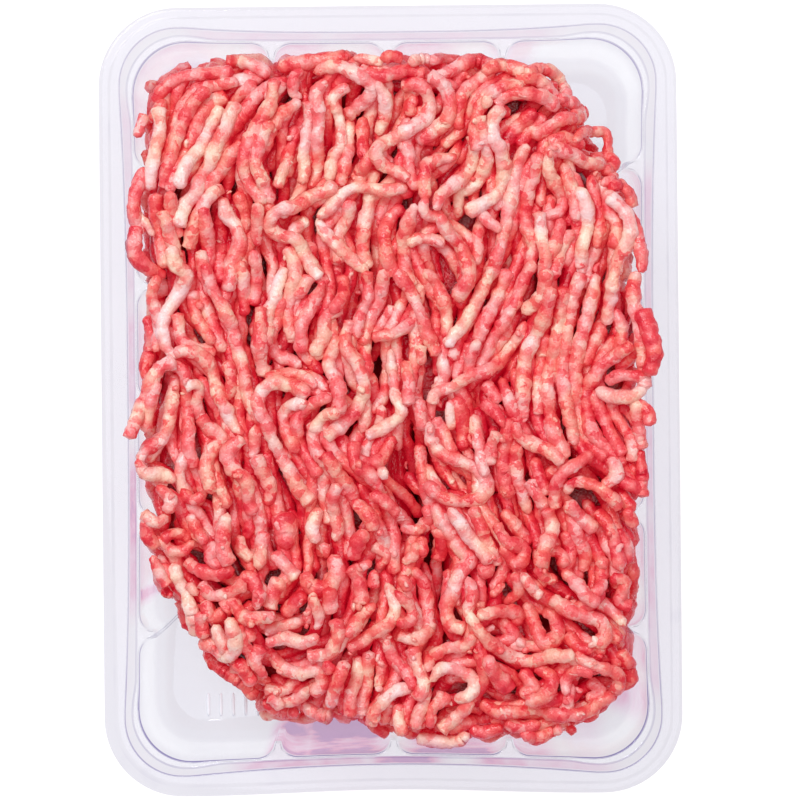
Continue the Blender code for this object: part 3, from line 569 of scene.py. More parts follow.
def smooth_path(points, spacing):
    """Even steps along a smooth curve through the points, and the distance run."""
    points = np.array(points, float)
    ends = 2 * points[0] - points[1], 2 * points[-1] - points[-2]
    padded = np.vstack((ends[0], points, ends[1]))
    t = np.linspace(0.0, 1.0, 12, endpoint=False)[:, None]
    dense = [
        0.5 * (2 * b + (c - a) * t + (2 * a - 5 * b + 4 * c - d) * t**2)
        + 0.5 * (3 * b - a - 3 * c + d) * t**3
        for a, b, c, d in zip(padded, padded[1:], padded[2:], padded[3:])
    ]
    dense = np.vstack((*dense, points[-1:]))
    run = np.concatenate(([0.0], np.cumsum(np.linalg.norm(np.diff(dense, axis=0), axis=1))))
    along = np.linspace(0.0, run[-1], max(4, round(run[-1] / spacing)) + 1)
    path = np.column_stack([np.interp(along, run, column) for column in dense.T])
    return path, along


class HeightMap:
    """How high the strands laid so far reach, over a flat grid."""

    def __init__(self, low, height, wrap=False):
        self.low = np.array(low, float)
        self.height = height
        self.wrap = wrap  # the first axis closes on itself

    def under(self, path, radius):
        """Indices of the cells under a path, and how high a ball there bulges."""
        reach = math.ceil(radius / CELL)
        steps = np.arange(-reach, reach + 1)
        place = (path - self.low) / CELL
        nearest = np.rint(place).astype(int)
        i = nearest[:, 0, None, None] + steps[None, :, None]
        j = nearest[:, 1, None, None] + steps[None, None, :]
        off_i = (i - place[:, 0, None, None]) * CELL
        off_j = (j - place[:, 1, None, None]) * CELL
        bulge = np.sqrt(np.maximum(radius**2 - off_i**2 - off_j**2, 0.0))
        i, j = np.broadcast_arrays(i, j)
        if self.wrap:
            i = i % self.height.shape[0]
        i = np.clip(i, 0, self.height.shape[0] - 1)
        j = np.clip(j, 0, self.height.shape[1] - 1)
        return i, j, bulge

    def support(self, path, radius):
        """How high the centre of a ball comes to rest at each place on a path."""
        i, j, bulge = self.under(path, radius)
        held = np.where(bulge > 0.0, self.height[i, j] + bulge, -np.inf)
        return held.max(axis=(1, 2))

    def stamp(self, path, height, radius):
        """Raises the map to the top of a strand with its centre at the given height."""
        i, j, bulge = self.under(path, radius)
        covered = bulge > 0.0
        top = height[:, None, None] + bulge
        np.maximum.at(self.height, (i[covered], j[covered]), top[covered])

    def read(self, path):
        """The map's height at each place on a path."""
        i, j = np.rint((path - self.low) / CELL).astype(int).T
        i = np.clip(i, 0, self.height.shape[0] - 1)
        j = np.clip(j, 0, self.height.shape[1] - 1)
        return self.height[i, j]


def drape(ground, path, along, radius, squeeze=SQUEEZE):
    """Height of a strand's centre when it lies over the ground without steep drops."""
    rest = ground.support(path, radius * squeeze)
    gap = np.abs(along[:, None] - along[None, :])
    held = (rest[None, :] - STEEPEST * gap).max(axis=1)
    soft = np.exp(-0.5 * (gap / SOFTEN) ** 2)
    smooth = soft @ held / soft.sum(axis=1)
    smooth = np.maximum(smooth, held - 0.25 * radius)
    kinks = np.exp(-0.5 * (gap / ROUNDING) ** 2)
    return kinks @ smooth / kinks.sum(axis=1)


# ---------------------------------------------------------------- the tray's inner walls
def pillar_centres(side):
    """Places of the pillars along a long or short side."""
    count = PILLARS[side]
    return PILLAR_PITCH * (np.arange(count) - (count - 1) / 2)


def pillar_depth(along, side):
    """How far the wall stands in at a place on a side: lobes with round corners."""
    offset = np.abs(np.asarray(along)[..., None] - pillar_centres(side)).min(axis=-1)
    reach = np.clip((PILLAR_HALF_WIDTH - offset) / (PILLAR_HALF_WIDTH - PILLAR_TIP), 0, 1)
    return PILLAR_DEPTH * (1.0 - np.sqrt(1.0 - reach**2))


def side_bow(along, straight):
    """How far a side bows inwards: 1 in its middle, 0 at its ends."""
    return np.cos(np.pi / 2 * np.clip(np.asarray(along) / straight, -1.0, 1.0)) ** 2


def wall_at(z):
    """Inset of the cavity's wall, its corner radius and its pillars' share, at a height."""
    foot_top = SHEET + FOOT_RADIUS
    below = np.clip((foot_top - z) / FOOT_RADIUS, 0.0, 1.0)
    curve = 1.0 - np.sqrt(1.0 - below**2)
    inset = CAVITY[0] + (LEDGE - np.maximum(z, foot_top)) * WALL_DRAFT
    corner = CAVITY[1] - (inset - CAVITY[0]) - 0.5 * FOOT_RADIUS * curve
    rise = np.clip((z - foot_top) / (LEDGE - foot_top), 0.0, 1.0)
    share = (PILLAR_DEPTH_AT_FOOT + (1.0 - PILLAR_DEPTH_AT_FOOT) * rise) * (1.0 - curve)
    return inset + FOOT_RADIUS * curve, corner, share


def keep_in_tray(points, margin):
    """Moves points that would cross the cavity's wall back inside it."""
    x, y, z = np.array(points, float).T
    inset, corner, share = wall_at(z)
    limit_x = HALF_X - inset - margin - CAVITY_BOW * side_bow(y, STRAIGHT_Y)
    limit_y = HALF_Y - inset - margin - CAVITY_BOW * side_bow(x, STRAIGHT_X)
    flat_x = HALF_X - inset - corner
    flat_y = HALF_Y - inset - corner
    limit_x = limit_x - share * pillar_depth(y, "long")
    limit_y = limit_y - share * pillar_depth(x, "short")
    x = np.clip(x, -limit_x, limit_x)
    y = np.clip(y, -limit_y, limit_y)
    over_x = np.maximum(np.abs(x) - flat_x, 0.0)
    over_y = np.maximum(np.abs(y) - flat_y, 0.0)
    over = np.hypot(over_x, over_y)
    room = np.maximum(corner - margin, 0.1)
    pull = np.where((over_x > 0) & (over_y > 0) & (over > room), room / np.maximum(over, 1e-6), 1.0)
    x = np.where(pull < 1.0, np.sign(x) * (flat_x + over_x * pull), x)
    y = np.where(pull < 1.0, np.sign(y) * (flat_y + over_y * pull), y)
    return np.column_stack((x, y, z))


# ----------------------------------------------------------------------- the heap's form
def closed_path(points, spacing):
    """Even steps round a smooth closed curve through the points."""
    wrapped = (*points[-2:], *points, *points[:2])
    path, along = smooth_path(wrapped, 0.25)
    begin = np.linalg.norm(path - np.array(points[0]), axis=1)[: len(path) // 2].argmin()
    half = len(path) // 2
    end = half + np.linalg.norm(path - np.array(points[0]), axis=1)[half:].argmin()
    loop, run = path[begin:end], along[begin:end] - along[begin]
    length = along[end] - along[begin]
    at = np.arange(round(length / spacing)) * length / round(length / spacing)
    return np.column_stack([np.interp(at, run, column) for column in loop.T]), length


outline, outline_length = closed_path(HEAP_OUTLINE, CELL)
outline_step = outline_length / len(outline)
tangent = np.roll(outline, -3, axis=0) - np.roll(outline, 3, axis=0)
tangent /= np.linalg.norm(tangent, axis=1)[:, None]
outline_out = np.column_stack((-tangent[:, 1], tangent[:, 0]))  # clockwise: left is out


def edge_distance(points):
    """Distance inside the heap's outline, negative outside it."""
    coarse = slice(None, None, 3)
    gap = points[:, None, :] - outline[None, coarse, :]
    square = (gap**2).sum(axis=2)
    nearest = square.argmin(axis=1)
    rows = np.arange(len(points))
    inward = -(gap[rows, nearest] * outline_out[coarse][nearest]).sum(axis=1)
    return np.copysign(np.sqrt(square[rows, nearest]), inward)


def route_distance(points, route):
    """Distance to the nearest place on a route of straight pieces."""
    nearest = np.full(len(points), np.inf)
    for start, end in zip(route, route[1:]):
        start = np.array(start)
        run = np.array(end) - start
        share = np.clip((points - start) @ run / (run @ run), 0.0, 1.0)
        gap = np.linalg.norm(points - start - share[:, None] * run, axis=1)
        nearest = np.minimum(nearest, gap)
    return nearest


def wall_distance(points):
    """Distance to the cavity's wall at the ledge, leaving out the pillars."""
    x, y = np.abs(points).T
    half_x, half_y = HALF_X - CAVITY[0], HALF_Y - CAVITY[0]
    over_x = x - (half_x - CAVITY[1])
    over_y = y - (half_y - CAVITY[1])
    round_gap = CAVITY[1] - np.hypot(np.maximum(over_x, 0.0), np.maximum(over_y, 0.0))
    return np.where((over_x > 0) | (over_y > 0), round_gap, np.minimum(half_x - x, half_y - y))


def filling_height(points):
    """Height of the filling that the top layer lies on."""
    inside = edge_distance(points)
    # Where no wall holds the heap's edge, its shoulder is wider and falls further
    free = smoothstep((wall_distance(points) - inside - 1.5) / 9.0)
    shoulder = 7.0 + 6.0 * free
    short = 1.0 - np.clip(inside / shoulder, 0.0, 1.0)
    drop = (5.0 + 13.0 * free) * (1.0 - np.sqrt(1.0 - short**2))
    flat = np.column_stack((points, np.zeros(len(points))))
    relief = 1.5 * noise3(flat, 15.0, seed=1)
    for depth, half_width, *route in CREVICES:
        relief = relief - depth * smoothstep(1.0 - route_distance(points, route) / half_width)
    return HEAP_CREST + relief - drop, inside


# Maps over the whole tray: the filling's height, and distances to the outline and wall
grid_x = np.arange(-MAP_X, MAP_X, CELL)
grid_y = np.arange(-MAP_Y, MAP_Y, CELL)
target = np.empty((len(grid_x), len(grid_y)))
inside_outline = np.empty_like(target)
wall_gap = np.empty_like(target)
for row, x in enumerate(grid_x):
    line = np.column_stack((np.full(len(grid_y), x), grid_y))
    target[row], inside_outline[row] = filling_height(line)
    wall_gap[row] = wall_distance(line)
target_map = HeightMap((-MAP_X, -MAP_Y), target)
edge_map = HeightMap((-MAP_X, -MAP_Y), inside_outline)

CORE_INSET = 5.0
CORE_DEPTH = 5.4  # how far the core's top stays below the filling's
ground = np.where(inside_outline > CORE_INSET, target - CORE_DEPTH, FLOOR)
pillar_reach = np.maximum(
    pillar_depth(grid_y, "long")[None, :] * (np.abs(grid_x)[:, None] > STRAIGHT_X),
    pillar_depth(grid_x, "short")[:, None] * (np.abs(grid_y)[None, :] > STRAIGHT_Y),
)
on_ledge = wall_gap < pillar_reach + CAVITY_BOW
# How far beyond the cavity's wall the step to the flange starts and ends
step_foot = CAVITY[0] - STEP_FOOT[0] - CAVITY_BOW - LEDGE_JOG
step_top = CAVITY[0] - STEP_TOP[0] - STEP_BOW
climb = np.clip((-wall_gap - step_foot) / (step_top - step_foot), 0.0, 1.0)
ground = np.where(on_ledge, LEDGE + (RIM - LEDGE) * climb, ground)
heap = HeightMap((-MAP_X, -MAP_Y), ground.copy())
ledge_map = HeightMap((-MAP_X, -MAP_Y), np.where(on_ledge, ground, 0.0))


# ------------------------------------------------------------------- filling the heap up
PACE = 3.0  # length of one piece of a scattered route
SCATTER = (60.0, 82.0)  # half the area in which strands start
FILL_SPACING = 0.8
FILL_STRANDS = 620
FILL_TRIES = 10
FILL_BEND = 0.14  # spread of the turns at each pace
FILL_MARGIN = 1.6  # how far inside the outline a filling strand stays
START_MARGIN = 2.5  # and starts, as do the crumbs
SHORTEST = 7.0
FILL_EXCESS = 0.3  # how far above the filling's height a strand may still be laid


def flow_directions():
    """Middles and doubled directions of the top layer's segments."""
    middles, doubled = [], []
    for zone in TOP_LAYER:
        for _, _, *route in zone:
            for start, end in zip(route, route[1:]):
                run = np.subtract(end, start)
                turn = 2.0 * math.atan2(run[1], run[0])
                middles.append(np.add(start, end) / 2)
                doubled.append((math.cos(turn), math.sin(turn)))
    return np.array(middles), np.array(doubled)


flow_middles, flow_doubled = flow_directions()


def flow_angle(place):
    """Which way the strands run near a place."""
    gap = ((flow_middles - place) ** 2).sum(axis=1)
    weight = 1.0 / (gap + 12.0) ** 2
    x, y = weight @ flow_doubled
    return 0.5 * math.atan2(y, x)


def wander(start, length, spacing, turn, bend):
    """A route that follows the flow with some bends of its own."""
    place = np.array(start, float)
    heading = flow_angle(place) + turn
    route = [place]
    for _ in range(max(2, round(length / PACE))):
        flow = flow_angle(place)
        flow += math.pi * round((heading - flow) / math.pi)
        heading += 0.45 * (flow - heading) + rng.normal(0.0, bend)
        place = place + PACE * np.array((math.cos(heading), math.sin(heading)))
        route.append(place)
    return smooth_path(route, spacing)


def fill_strand():
    """The best of a few tries at a strand that lies where the heap is lowest."""
    best = None
    for _ in range(FILL_TRIES):
        start = rng.uniform(np.negative(SCATTER), SCATTER)
        if edge_map.read(start[None])[0] < START_MARGIN:
            continue
        turn = rng.choice((0.0, math.pi)) + rng.normal(0.0, 0.15)
        path, along = wander(start, rng.uniform(20.0, 60.0), FILL_SPACING, turn, FILL_BEND)
        within = edge_map.read(path) > FILL_MARGIN
        stop = len(path) if within.all() else int(within.argmin())
        if stop * FILL_SPACING < SHORTEST:
            continue
        path, along = path[:stop], along[:stop]
        rest = heap.support(path, STRAND_RADIUS * SQUEEZE)
        over = (rest - target_map.read(path)).mean()
        if best is None or over < best[0]:
            best = (over, path, along)
    return best


def lay_filling():
    """Strands scattered over the heap until it reaches the filling's height."""
    strands = []
    for _ in range(FILL_STRANDS):
        found = fill_strand()
        if found is None or found[0] > FILL_EXCESS:
            continue
        _, path, along = found
        radius = STRAND_RADIUS * rng.uniform(0.9, 1.1)
        height = drape(heap, path, along, radius)
        heap.stamp(path, height, radius * SQUEEZE)
        strands.append((np.column_stack((path, height)), None, radius, rng.uniform(0.15, 0.75)))
    return strands


# ------------------------------------------------------------------------ the heap's side
SIDE_SPACING = 0.8
SIDE_STRANDS = 420
SIDE_TRIES = 8
SIDE_MARGIN = 0.2  # between a side strand and the tray's wall
side_top = target_map.read(outline) + 1.0


def side_route():
    """Points of a route down or up the side: place round the outline, and height."""
    rows = len(outline)
    start = rng.uniform(0.0, outline_length)
    top = side_top[int(start / CELL) % rows]
    heading = rng.choice((-1.0, 1.0)) * rng.normal(0.9, 0.55)
    lowest = FLOOR + STRAND_RADIUS
    route = [(start, rng.uniform(lowest, top))]
    for _ in range(rng.integers(4, 11)):
        heading += rng.normal(0.0, 0.4)
        onward = route[-1][0] + PACE * math.cos(heading)
        height = route[-1][1] - PACE * math.sin(heading)
        highest = side_top[int(onward / CELL) % rows]
        if not lowest <= height <= highest:
            heading = -heading
            height = min(highest, max(lowest, height))
        route.append((onward, height))
    return route


def lay_side():
    """Strands over the heap's side, on a map of place round the outline and height."""
    rows = len(outline)
    columns = math.ceil(side_top.max() / CELL) + 12
    side = HeightMap((0.0, 0.0), np.zeros((rows, columns)), wrap=True)
    strands = []
    for _ in range(SIDE_STRANDS):
        best = None
        for _ in range(SIDE_TRIES):
            path, along = smooth_path(side_route(), SIDE_SPACING)
            path[:, 1] = np.maximum(path[:, 1], FLOOR + 0.9 * STRAND_RADIUS)
            level = side.support(path, STRAND_RADIUS * SQUEEZE).mean()
            if best is None or level < best[0]:
                best = (level, path, along)
        level, path, along = best
        if level > CORE_INSET:
            continue
        radius = STRAND_RADIUS * rng.uniform(0.9, 1.1)
        out = drape(side, path, along, radius)
        side.stamp(path, out, radius * SQUEEZE)
        # From the map back to the heap's outline
        place = path[:, 0] / outline_step
        whole = np.floor(place).astype(int)
        part = (place - whole)[:, None]
        base = outline[whole % rows] * (1 - part) + outline[(whole + 1) % rows] * part
        outward = outline_out[whole % rows]
        flat = base + outward * (out - CORE_INSET)[:, None]
        points = keep_in_tray(np.column_stack((flat, path[:, 1])), radius + SIDE_MARGIN)
        heap.stamp(points[:, :2], points[:, 2], radius * SQUEEZE)
        ups = np.column_stack((outward, np.zeros(len(outward))))
        strands.append((points, ups, radius, rng.uniform(0.15, 0.75)))
    return strands


# ------------------------------------------------------------------------- the top layer
TOP_SPACING = 0.42
TOP_SLIMMING = 0.96  # the routes' radii are to the outside of their lumps
TOP_SQUEEZE = 0.58  # the top strands are pressed further into what they lie on
TOP_ROOM = 6.5  # how far above the filling a strand's centre may rise before it sinks in


def lay_top(zone):
    """The strands of one zone of the top layer, swaying a little about their routes."""
    strands = []
    for fat, radius, *route in zone:
        radius = radius * TOP_SLIMMING
        path, along = smooth_path(route, TOP_SPACING)
        seed = rng.uniform(0.0, 100.0)
        sway = np.column_stack((noise1(along, 4.0, seed), noise1(along, 4.0, seed + 31.0)))
        path = path + 0.35 * sway
        height = drape(heap, path, along, radius, TOP_SQUEEZE)
        over = height - target_map.read(path) - TOP_ROOM
        height = height - 0.7 * np.maximum(over, 0.0)
        height = height + 0.3 * noise1(along, 3.0, seed + 57.0)
        height = np.maximum(height, drape(ledge_map, path, along, radius, TOP_SQUEEZE))
        heap.stamp(path, height, radius * SQUEEZE)
        strands.append((np.column_stack((path, height)), None, radius, fat))
    return strands


CRUMBS = 300
CRUMB_LIFT = 0.36
CRUMB_BEND = 0.3  # how far its middle stands off, as a share of half its length


def lay_crumbs():
    """Bits of meat and fat broken off the strands, more of them near the front."""
    strands = []
    for _ in range(CRUMBS):
        place = rng.uniform((-56.0, -80.0), (56.0, 78.0))
        kept = rng.uniform() < 0.35 + 0.65 * smoothstep(0.3 - place[1] / 80.0)
        if not kept or edge_map.read(place[None])[0] < START_MARGIN:
            continue
        turn = rng.uniform(0.0, math.pi)
        arm = rng.uniform(0.5, 1.3) * np.array((math.cos(turn), math.sin(turn)))
        middle = place + CRUMB_BEND * np.array((-arm[1], arm[0]))
        path, _ = smooth_path((place - arm, middle, place + arm), TOP_SPACING)
        radius = rng.uniform(0.5, 0.95)
        height = np.full(len(path), heap.support(path, 0.5 * radius).mean() + CRUMB_LIFT)
        strands.append((np.column_stack((path, height)), None, radius, rng.uniform(0.3, 0.85)))
    return strands


# ------------------------------------------------------------------------- making meshes
PAINTED_SHADE_AT_NEAR_RIGHT = 0.07  # painted shade: the meat lower on the ramp, darker and redder, towards the near right
LEVEL_AT_LEAN = 0.26  # place on the colour ramp of a lean strand, and what fat adds
LEVEL_OF_FAT = 0.62
SIDE_HOLLOW_SHADE = 0.25  # the sides have no hollows worked out, so they get an even painted shade


def make_mesh(name, points, quads, triangles, attributes=()):
    """A smooth mesh object; points in millimetres, attributes one value for each point."""
    mesh = bpy.data.meshes.new(name)
    faces = [np.reshape(quads, (-1, 4)), np.reshape(triangles, (-1, 3))]
    loops = np.concatenate([part.ravel() for part in faces]).astype(np.int32)
    sizes = np.concatenate([np.full(len(part), part.shape[1]) for part in faces])
    starts = np.concatenate(([0], np.cumsum(sizes)[:-1])).astype(np.int32)
    mesh.vertices.add(len(points))
    mesh.vertices.foreach_set("co", (np.asarray(points) * MM).astype(np.float32).ravel())
    mesh.loops.add(len(loops))
    mesh.loops.foreach_set("vertex_index", loops)
    mesh.polygons.add(len(sizes))
    mesh.polygons.foreach_set("loop_start", starts)
    mesh.update(calc_edges=True)
    for label, values in attributes:
        layer = mesh.attributes.new(label, "FLOAT", "POINT")
        layer.data.foreach_set("value", np.asarray(values, np.float32))
    mesh.validate()
    mesh.shade_smooth()
    thing = bpy.data.objects.new(name, mesh)
    bpy.context.scene.collection.objects.link(thing)
    return thing


def skin(rings, first=0):
    """Quads between closed rings of equal length, in order; outside is to their right."""
    count = rings.shape[1]
    here = np.arange(count) + first
    onward = np.roll(np.arange(count), -1) + first
    level = np.arange(len(rings) - 1)[:, None] * count
    corners = (here + level, onward + level, onward + level + count, here + level + count)
    return np.stack(corners, axis=-1).reshape(-1, 4)


def unit(vectors):
    """The vectors scaled to length 1."""
    return vectors / np.maximum(np.linalg.norm(vectors, axis=-1, keepdims=True), 1e-9)


def hollow_depth(points):
    """From 0 on the crests of the finished heap to 1 in its hollows and 2 in its crevices, for the
    painted shade there.
    """
    below = heap_level.read(points[:, :2]) - points[:, 2]
    return np.clip((below + 0.6) / 3.4, 0.0, 1.0) + np.clip((below - 4.0) / 3.0, 0.0, 1.0)


def strand_thickness(along, radius, seed):
    """A strand's radius along its length, with lumps and blunt or torn ends."""
    lumps = 0.13 * noise1(along, 4.5, seed) + 0.12 * noise1(along, 1.6, seed + 9)
    thick = radius * (1.0 + lumps)
    for gap in (along, along[-1] - along):
        cut = rng.choice((0.3, 0.85), p=(0.5, 0.5))
        blunt = np.clip(gap / (cut * radius), 0.0, 1.0)
        torn = rng.choice((0.0, 0.2, 0.45), p=(0.45, 0.3, 0.25))
        thick = thick * (0.2 + 0.8 * np.sqrt(1.0 - (1.0 - blunt) ** 2))
        thick = thick * (1.0 - torn * np.exp(-gap / 2.2))
    return thick


def end_fans(first, rings, sides):
    """Triangles closing a tube whose two tips follow its rings in the list of points."""
    here = np.arange(sides) + first
    onward = np.roll(here, -1)
    tip = first + rings * sides
    last = (rings - 1) * sides
    start = np.column_stack((np.full(sides, tip), onward, here))
    end = np.column_stack((np.full(sides, tip + 1), last + here, last + onward))
    return start, end


def strand_piece(name, strands, sides, shaded=True):
    """One mesh of strands, each an uneven tube."""
    points, out, fats, quads, triangles = [], [], [], [], []
    first = 0
    turn = np.arange(sides) * 2.0 * math.pi / sides
    for centres, ups, radius, fat in strands:
        seed = rng.uniform(0.0, 100.0)
        forward = unit(np.gradient(centres, axis=0))
        up = np.array((0.0, 0.0, 1.0)) if ups is None else ups
        across = unit(np.cross(np.broadcast_to(up, centres.shape), forward))
        lift = np.cross(forward, across)
        step = np.linalg.norm(np.diff(centres, axis=0), axis=1)
        along = np.concatenate(([0.0], np.cumsum(step)))
        thick = strand_thickness(along, radius, seed)
        # A little wider than high, as it sags under its own weight
        spoke = np.cos(turn)[None, :, None] * across[:, None, :] * 1.04
        spoke = spoke + np.sin(turn)[None, :, None] * lift[:, None, :] * 0.97
        ring = centres[:, None, :] + thick[:, None, None] * spoke
        tips = centres[[0, -1]] + forward[[0, -1]] * radius * ((-0.1,), (0.1,))
        points += [ring.reshape(-1, 3), tips]
        out += [spoke.reshape(-1, 3), forward[[0, -1]] * ((-1,), (1,))]
        level = LEVEL_AT_LEAN + LEVEL_OF_FAT * fat + 0.16 * noise1(along, 5.0, seed + 17)
        level = level + 0.1 * noise1(along, 1.5, seed + 23)
        fats += [np.repeat(level, sides), level[[0, -1]]]
        quads.append(skin(ring, first))
        triangles.extend(end_fans(first, len(ring), sides))
        first += len(ring) * sides + 2
    points, out = np.vstack(points), np.vstack(out)
    fats = np.concatenate(fats) + 0.2 * noise3(points, 2.0, seed=2)
    # Painted shade, darker and redder towards the near right
    near_right_shade = smoothstep((points[:, 0] - 5.0) / 30.0) * smoothstep((45.0 - points[:, 1]) / 30.0)
    fats = fats - PAINTED_SHADE_AT_NEAR_RIGHT * near_right_shade
    lumps = 0.2 * noise3(points, 2.1, seed=3) + 0.24 * noise3(points, 0.85, seed=4)
    points = points + lumps[:, None] * out
    # How deep each point lies in the heap, which sets its painted shade
    deep = hollow_depth(points) if shaded else np.full(len(points), SIDE_HOLLOW_SHADE)
    attributes = (("fat", fats), ("deep", deep))
    return make_mesh(name, points, np.vstack(quads), np.vstack(triangles), attributes)


CORE_GAP = 3.0  # between the core and the tray's wall
CORE_SHARES = (0.0, 0.12, 0.3, 0.5, 0.7, 0.88, 1.0)  # rings up its side


def build_core():
    """The body of the heap under its strands, with the finest bits as relief."""
    edge = outline[::3] - outline_out[::3] * CORE_INSET
    top = target_map.read(edge) - CORE_DEPTH
    rings = []
    for share in CORE_SHARES:
        height = FLOOR + (top - FLOOR) * share
        rings.append(keep_in_tray(np.column_stack((edge, height)), CORE_GAP))
    rim = rings[-1]
    for share in np.linspace(0.98, 0.02, 48):
        flat = rim[:, :2] * share
        height = target_map.read(flat) - CORE_DEPTH
        rings.append(np.column_stack((flat, height)))
    rings = np.array(rings)
    grain = 0.6 * noise3(rings, 3.2, seed=5) + 0.35 * noise3(rings, 1.4, seed=6)
    grain[0] = 0.0
    rings[..., 2] += grain
    # The outline runs clockwise, so the rings are turned round to face outwards
    rings = rings[:, ::-1]
    points = np.vstack((rings.reshape(-1, 3), rings[[0, -1]].mean(axis=1)))
    fans = end_fans(0, len(rings), rings.shape[1])
    fats = 0.1 + 0.4 * noise3(points, 2.4, seed=2)
    # The core lies under the strands and gets at least the painted shade of a hollow
    attributes = (("fat", fats), ("deep", np.maximum(hollow_depth(points), 1.0)))
    return make_mesh("mince_core", points, skin(rings), np.vstack(fans), attributes)


# ------------------------------------------------------------------------------ the tray
CORNER_POINTS = 17
FLANGE_TINT = 0.3
FLOOR_TINT = 0.16
NEAR_LINES = 0.75  # the lines painted at the near side's bends are darker
STEP_RING = 16  # the first of the rings at the step's upper bend


def side_stations(straight, side):
    """Places along a side for the tray's points, closer together at the pillars."""
    places = list(np.arange(-straight, straight + 0.1, 1.3)[1:-1])
    places += [-straight + 0.05, straight - 0.05]
    for centre in pillar_centres(side):
        places = [place for place in places if abs(place - centre) > 5.4]
        places += list(centre + np.linspace(-5.1, 5.1, 27))
    return np.sort(places)


def near_flex(points, height):
    """Shift of the near side's rim, fading out down the wall and along the side."""
    across = smoothstep(1.0 - np.abs(points[:, 0]) / STRAIGHT_X)
    nearness = smoothstep((-points[:, 1] - HALF_Y) / NEAR_FLEX_REACH + 1.0)
    return NEAR_FLEX * across * nearness * smoothstep(height / RIM)


def tray_ring(inset, radius, height, bow=0.0, jog=0.0, pillars=0.0):
    """One closed loop round the tray, anticlockwise seen from above."""
    reach_x, reach_y = HALF_X - inset, HALF_Y - inset
    sides = ((STRAIGHT_Y, reach_x, "long"), (STRAIGHT_X, reach_y, "short"))
    points = []
    for quarter in range(4):
        straight, reach, side = sides[quarter % 2]
        other_reach = sides[(quarter + 1) % 2][1]
        turn = quarter * math.pi / 2
        outward = np.array((math.cos(turn), math.sin(turn)))
        onward = np.array((-math.sin(turn), math.cos(turn)))
        along = side_stations(straight, side)
        inward = bow * (1.0 - np.abs(along / straight) ** 3)
        inward = inward + jog * smoothstep((straight - np.abs(along)) / LEDGE_JOG_RUN)
        inward = inward + pillars * pillar_depth(along, side)
        points.append((reach - inward)[:, None] * outward + along[:, None] * onward)
        angle = np.linspace(0.0, math.pi / 2, CORNER_POINTS)
        arm = np.cos(angle)[:, None] * outward + np.sin(angle)[:, None] * onward
        middle = outward * (reach - radius) + onward * (other_reach - radius)
        points.append(middle + arm * radius)
    points = np.vstack(points)
    points[:, 1] += near_flex(points, height)
    return np.column_stack((points, np.full(len(points), height)))


def tray_rings():
    """The sheet's upper surface from the lip to the floor, and its tint with the dark lines painted
    at its bends.
    """
    wall_foot = CAVITY[0] + (LEDGE - SHEET) * WALL_DRAFT
    foot_corner = CAVITY[1] - (wall_foot - CAVITY[0])
    lip, groove = FLANGE_RADIUS, FLANGE_RADIUS - GROOVE_INSET
    cavity = tray_ring(*CAVITY, LEDGE, bow=CAVITY_BOW, pillars=1.0)
    plain = tray_ring(*CAVITY, LEDGE, bow=CAVITY_BOW)
    lobes = smoothstep(np.linalg.norm(cavity - plain, axis=1) / (0.4 * PILLAR_DEPTH))
    # ring, radius of the bend there, strength of the dark line painted at the bend, and tint of the
    # sheet about it
    keys = (
        (tray_ring(0.0, lip, RIM - LIP_DROP), 0.0, 0.15, FLANGE_TINT),
        (tray_ring(0.15, lip, RIM - 0.25), 0.9, 0.3, FLANGE_TINT),
        (tray_ring(GROOVE_INSET, groove, RIM - 0.25), 0.3, 0.34, FLANGE_TINT),
        (tray_ring(GROOVE_INSET + 0.3, groove, RIM), 0.3, 0.34, FLANGE_TINT),
        (tray_ring(*STEP_TOP, RIM, bow=STEP_BOW), 0.5, 0.62, FLANGE_TINT),
        (tray_ring(*STEP_FOOT, LEDGE, bow=CAVITY_BOW, jog=LEDGE_JOG), 0.5, 0.46, FLOOR_TINT),
        (cavity, 0.8, 0.76 - 0.36 * lobes, FLOOR_TINT),
        (tray_ring(wall_foot, foot_corner, SHEET, pillars=0.5), FOOT_RADIUS, 0.0, FLOOR_TINT),
    )
    inner_floor = keys[-1][0] * (0.7, 0.7, 1.0)
    keys += ((inner_floor, 0.0, 0.0, FLOOR_TINT),)
    rings, bends = [keys[0][0]], [np.full(len(lobes), FLANGE_TINT)]
    for (before, *_), (key, bend, tint, flat), (after, *_) in zip(keys, keys[1:], keys[2:]):
        room_in = np.linalg.norm(before - key, axis=1)[:, None]
        room_out = np.linalg.norm(after - key, axis=1)[:, None]
        enter = key + (before - key) * np.minimum(0.48, bend / room_in)
        leave = key + (after - key) * np.minimum(0.48, bend / room_out)
        if bend > 1.0:
            for share in (0.33, 0.66):  # steps down the tall wall
                rings.append(rings[-1] + (enter - rings[-1]) * share)
                bends.append(np.zeros(len(key)))
        for t in np.linspace(0.0, 1.0, 9 if bend > 1.0 else 5):
            rings.append((1 - t) ** 2 * enter + 2 * t * (1 - t) * key + t**2 * leave)
            # A dark lilac line painted along the bend, in place of its reflection and refraction
            line = tint * (1.0 - abs(2.0 * t - 1.0)) ** 1.2
            near = smoothstep((-key[:, 1] - 50.0) / 35.0)
            line = line + NEAR_LINES * near * np.maximum(line - 0.35, 0.0)
            bends.append(np.maximum(flat, line))
    rings.append(keys[-1][0])
    bends.append(np.full(len(lobes), FLOOR_TINT))
    return np.array(rings), np.array(bends)


